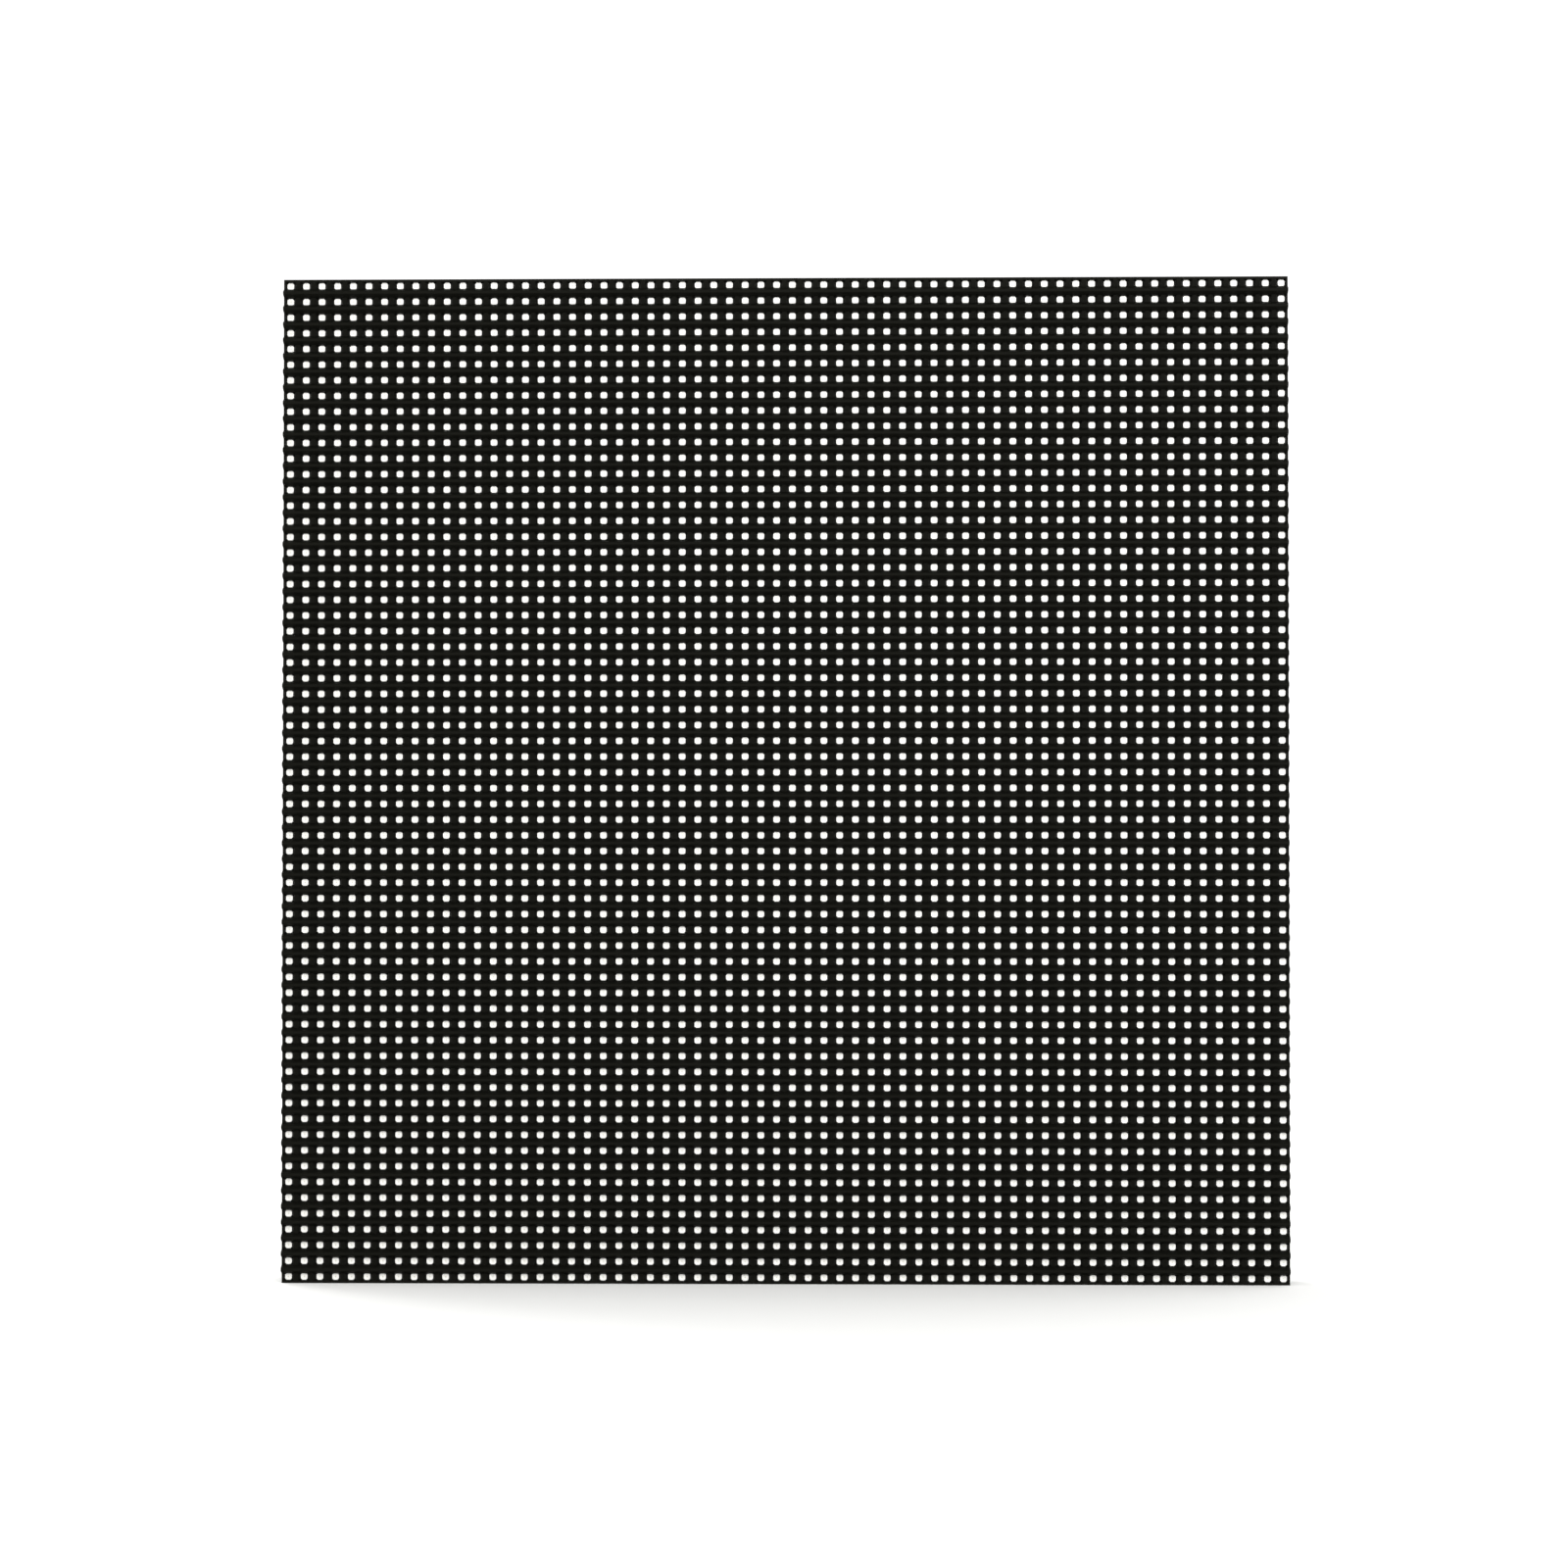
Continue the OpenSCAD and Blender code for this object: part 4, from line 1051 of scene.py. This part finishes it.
def solder_lands(rear):
    """Tinned lands: thin bars under the feet of chips and cans, and under the ends of the chip parts."""
    thick, foot_long, foot_side = 1.5 * rear.print_thick, 0.75 * MM, 0.12 * MM
    part_past, part_long, part_wide, can_wide = 0.15 * MM, 0.35 * MM, 0.95 * MM, 1.1 * MM
    bars = []
    for form in CHIP_FORMS:
        feet, way, _ = lead_feet(form)
        bars.append((feet - way * foot_long, feet + way * rear.land_room, form.lead_width + foot_side))
    level, upright = (np.concatenate(places) for places in zip(*part_places(rear).values()))
    cans = middles("reservoir_capacitor")
    reach = rear.chip_part / 2 + part_past
    base, _, tip = (CAN_HIGH - CAN_LOW) / 2
    for places, way, near, far, wide in (
        (level, LEVEL, reach - part_long, reach, part_wide),
        (upright, UPRIGHT, reach - part_long, reach, part_wide),
        (cans, UPRIGHT, base, tip, can_wide),
    ):
        bars += [(places + sign * way * near, places + sign * way * far, wide) for sign in SIDES]
    return joined(*(strips(*bar, thick) for bar in bars))


def legend_lines():
    """Printed outlines round headers, supply connector and cans, and bars at both ends of every chip."""
    room, end_gap, bar_share = 0.55 * MM, 0.3 * MM, 0.42
    names = ["data_in_header", "data_out_header", "power_socket", *node_names("reservoir_capacitor")]
    low, high = plan_boxes(names) + np.array([[[-room]], [[room]]])
    corners = np.stack([low, rows_of(high[:, 0], low[:, 1]), high, rows_of(low[:, 0], high[:, 1])])
    starts, ends = [*corners], [*np.roll(corners, -1, axis=0)]
    for form in CHIP_FORMS:
        along, across = chip_axes(form)
        long, _, _ = chip_sizes(form)
        for sign in SIDES:
            end = middles(form.stem) + sign * along * (long / 2 + end_gap)
            starts.append(end - across * form.width * bar_share)
            ends.append(end + across * form.width * bar_share)
    return np.concatenate(starts), np.concatenate(ends)


class LEDMODULE_OT_mask(Operator):
    """Louvred mask with a window for every lamp"""

    bl_idname = "led_module.mask"
    bl_label = "Louvred mask"

    def execute(self, context):
        shape = mask_shape(context.scene.led_grid)
        piece("louvred_mask", shape, "spark_eroded_polycarbonate", ["face_mask"])
        return {"FINISHED"}


class LEDMODULE_OT_lamps(Operator):
    """Lamps, as white housings and the resin in them"""

    bl_idname = "led_module.lamps"
    bl_label = "Lamps"

    def execute(self, context):
        grid = context.scene.led_grid
        line = spaced(grid.lamps, grid.pitch)
        places = rows_of(line, BOARD_LOW.y, line[:, None])
        housing, resin, shade = lamp_shapes(grid)
        piece("lamp_housings", repeat(housing, places), "white_polyamide", ["led_lamps"])
        made = piece("lamp_resin", repeat(resin, places), "milky_resin", ["led_lamps"])
        point_attribute(made, DIE_SHADE, np.tile(shade, len(places)))
        return {"FINISHED"}


class LEDMODULE_OT_board(Operator):
    """Circuit board with its tracks, plated holes, solder lands and printed outlines"""

    bl_idname = "led_module.board"
    bl_label = "Circuit board"

    def execute(self, context):
        rear = context.scene.led_rear
        dress("circuit_board", "lacquered_laminate")
        piece("board_tracks", board_copper(rear), "lacquered_copper")
        piece("solder_lands", solder_lands(rear), "reflowed_tin")
        outlines = strips(*legend_lines(), rear.legend_width, rear.print_thick)
        piece("printed_outlines", outlines, "printed_legend")
        return {"FINISHED"}


class LEDMODULE_OT_chips(Operator):
    """Driver and buffer chips, as moulded bodies and tinned leads"""

    bl_idname = "led_module.chips"
    bl_label = "Chips"

    def execute(self, context):
        rear = context.scene.led_rear
        for form in CHIP_FORMS:
            names, places = node_names(form.stem), middles(form.stem)
            long, span, tall = chip_sizes(form)
            bodies = on_rear(chip_body(form, long, tall, rear), places, form.upright)
            piece(f"{form.stem}_bodies", bodies, "moulding_compound", names)
            leads = both_sides(chip_lead(form, span, tall, rear), lead_steps(form))
            leads = on_rear(leads, places, form.upright)
            piece(f"{form.stem}_leads", leads, "reflowed_tin", names, smooth_below=40)
        return {"FINISHED"}


class LEDMODULE_OT_capacitors(Operator):
    """Reservoir capacitors, chip capacitors and chip resistors"""

    bl_idname = "led_module.capacitors"
    bl_label = "Capacitors and resistors"

    def execute(self, context):
        rear = context.scene.led_rear
        names, places = node_names("reservoir_capacitor"), middles("reservoir_capacitor")
        width, tall, span = CAN_HIGH - CAN_LOW
        can, mark_side = can_shape(rear, tall)
        made = piece("reservoir_cans", on_rear(can, places), "drawn_aluminium", names, smooth_below=35)
        point_attribute(made, MARK_SIDE, np.tile(mark_side, len(names)))
        piece("can_bases", on_rear(can_base_shape(rear, width), places), "moulded_base", names)
        piece("can_leads", on_rear(can_lead_shape(rear, width, span), places), "reflowed_tin", names)

        for block in PART_BLOCKS:
            low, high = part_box(block.node)
            long, wide, tall = rear.chip_part, rear.chip_part / 2, high.y - low.y
            base = block.rise * tall + block.room
            shape = soft_block(block.long * long, block.wide * wide, block.tall * tall, block.edge, base)
            if block.at_ends:
                shape = repeat(shape, np.outer(SIDES, [(1 - block.long) / 2 * long, 0.0, 0.0]))
            level, upright = part_places(rear)[block.node]
            shape = joined(on_rear(shape, level), on_rear(shape, upright, True))
            piece(block.piece, shape, block.finish, [block.node])
        return {"FINISHED"}


class LEDMODULE_OT_connectors(Operator):
    """Data headers and supply connector with their pins"""

    bl_idname = "led_module.connectors"
    bl_label = "Connectors"

    def execute(self, context):
        rear = context.scene.led_rear
        header_edge, header_tip = 0.6 * rear.edge_round, 0.7 * MM
        supply_edge, supply_tip = 0.8 * rear.edge_round, 1.0 * MM
        for side in ("data_in", "data_out"):
            dress(f"{side}_header", "moulded_polyester", header_edge)
            low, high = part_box(f"{side}_pins")
            columns = (low.x + high.x) / 2 + spaced(2, rear.header_pitch)
            places = rows_of(columns, spaced(rear.header_pins, rear.header_pitch)[:, None])
            pins = on_rear(square_pin(rear.header_pin, high.y - low.y, header_tip), places)
            piece(f"{side}_gold_pins", pins, "gold_flash", [f"{side}_pins"])
        dress("power_socket", "natural_nylon", supply_edge)
        low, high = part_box("power_pins")
        places = rows_of(spaced(rear.power_ways, rear.power_pitch), 0.0)
        pins = on_rear(square_pin(rear.power_pin, high.y - low.y, supply_tip), places)
        piece("supply_pins", pins, "reflowed_tin", ["power_pins"])
        return {"FINISHED"}


class LEDMODULE_OT_frame(Operator):
    """Rear frame with its threaded inserts and screws"""

    bl_idname = "led_module.frame"
    bl_label = "Rear frame and fixings"

    def execute(self, context):
        grid, rear = context.scene.led_grid, context.scene.led_rear
        dress("back_frame", "glass_filled_polycarbonate", rear.edge_round)

        x, z = INSERTS_HIGH.x - rear.insert_radius, INSERTS_HIGH.z - rear.insert_radius
        places = rows_of(np.array([-x, 0.0, x]), np.array([[-z], [z]]))
        insert = insert_shape(rear, INSERTS_HIGH.y - INSERTS_LOW.y)
        inserts = on_rear(insert, places, level=INSERTS_LOW.y)
        piece("brass_inserts", inserts, "turned_brass", ["mounting_inserts"], smooth_below=35)

        bar, band = rear.bar_line * grid.pitch, SCREWS_HIGH.x - rear.head_radius
        corner = rectangle(2.0, 2.0)
        places = np.concatenate([corner * [bar, bar], corner * [bar, band], corner * [band, bar]])
        seat = SCREWS_HIGH.y - rear.head_height
        screws = on_rear(screw_shape(rear, seat - SCREWS_LOW.y), places, level=seat)
        piece("pan_head_screws", screws, "zinc_plated_steel", ["frame_screws"], smooth_below=35)
        return {"FINISHED"}


def aim(made, place, way):
    """Puts a light or the camera at a place, looking along a way."""
    made.location = place
    made.rotation_euler = way.to_track_quat("-Z", "Y").to_euler()


class LEDMODULE_OT_stage(Operator):
    """Floor, soft light and the camera"""

    bl_idname = "led_module.stage"
    bl_label = "Stage"

    def execute(self, context):
        scene, stage = context.scene, context.scene.led_stage
        scene.view_settings.view_transform = "Standard"
        side = 12.0
        mesh = bpy.data.meshes.new("studio_floor")
        mesh.from_pydata(at_height(rectangle(side, side), CAD_BOX[0].z).tolist(), [], [(0, 1, 2, 3)])
        mesh.materials.append(finish("studio_floor"))
        floor = added("studio_floor", mesh)

        world = bpy.data.worlds.new("studio")
        world.use_nodes = True
        sky = world.node_tree.nodes["Background"].inputs
        sky["Color"].default_value = (1.0, 1.0, 1.0, 1.0)
        sky["Strength"].default_value = stage.sky
        scene.world = world

        lights = (
            ("key", stage.key, 0.45, (0.27, -1.25, 0.27)),
            ("rear_fill", stage.fill, 1.0, (-0.9, 1.3, 1.0)),
        )
        for name, power, size, place in lights:
            data = bpy.data.lights.new(name, "AREA")
            data.energy, data.size = power, size
            aim(added(name, data), place, -Vector(place))

        data = bpy.data.cameras.new("camera")
        data.lens, data.sensor_width = stage.focal, 36.0
        data.clip_start, data.clip_end = 0.01, 50.0
        target = Vector((stage.aim_x, LAMPS_LOW.y, stage.aim_z))
        back = Vector((
            math.sin(stage.right) * math.cos(stage.below),
            -math.cos(stage.right) * math.cos(stage.below),
            -math.sin(stage.below),
        ))
        scene.camera = added("camera", data)
        aim(scene.camera, target + back * stage.distance, -back)
        return {"FINISHED"}


OPERATORS = (
    LEDMODULE_OT_mask,
    LEDMODULE_OT_lamps,
    LEDMODULE_OT_board,
    LEDMODULE_OT_chips,
    LEDMODULE_OT_capacitors,
    LEDMODULE_OT_connectors,
    LEDMODULE_OT_frame,
    LEDMODULE_OT_stage,
)
GROUPS = {
    "led_grid": LampGridSizes,
    "led_rear": RearSizes,
    "led_finishes": FinishColours,
    "led_stage": StageSettings,
}


class LEDMODULE_PT_sidebar(Panel):
    """Sizes, colours and steps of the display module"""

    bl_label = "LED display module"
    bl_idname = "LEDMODULE_PT_sidebar"
    bl_space_type = "VIEW_3D"
    bl_region_type = "UI"
    bl_category = "LED module"

    def draw(self, context):
        for operator in OPERATORS:
            self.layout.operator(operator.bl_idname)
        for group in GROUPS:
            settings = getattr(context.scene, group)
            box = self.layout.box()
            for name in settings.__annotations__:
                box.prop(settings, name)


def register():
    """Registers the settings, the operators and the panel."""
    for name, group in GROUPS.items():
        bpy.utils.register_class(group)
        setattr(bpy.types.Scene, name, PointerProperty(type=group))
    for operator in OPERATORS:
        bpy.utils.register_class(operator)
    bpy.utils.register_class(LEDMODULE_PT_sidebar)


def unregister():
    """Takes them off again, last first."""
    bpy.utils.unregister_class(LEDMODULE_PT_sidebar)
    for operator in reversed(OPERATORS):
        bpy.utils.unregister_class(operator)
    for name, group in reversed(GROUPS.items()):
        delattr(bpy.types.Scene, name)
        bpy.utils.unregister_class(group)


def main():
    """Builds every piece in order."""
    register()
    for operator in OPERATORS:
        group, step = operator.bl_idname.split(".")
        getattr(getattr(bpy.ops, group), step)()


if __name__ == "__main__":
    main()
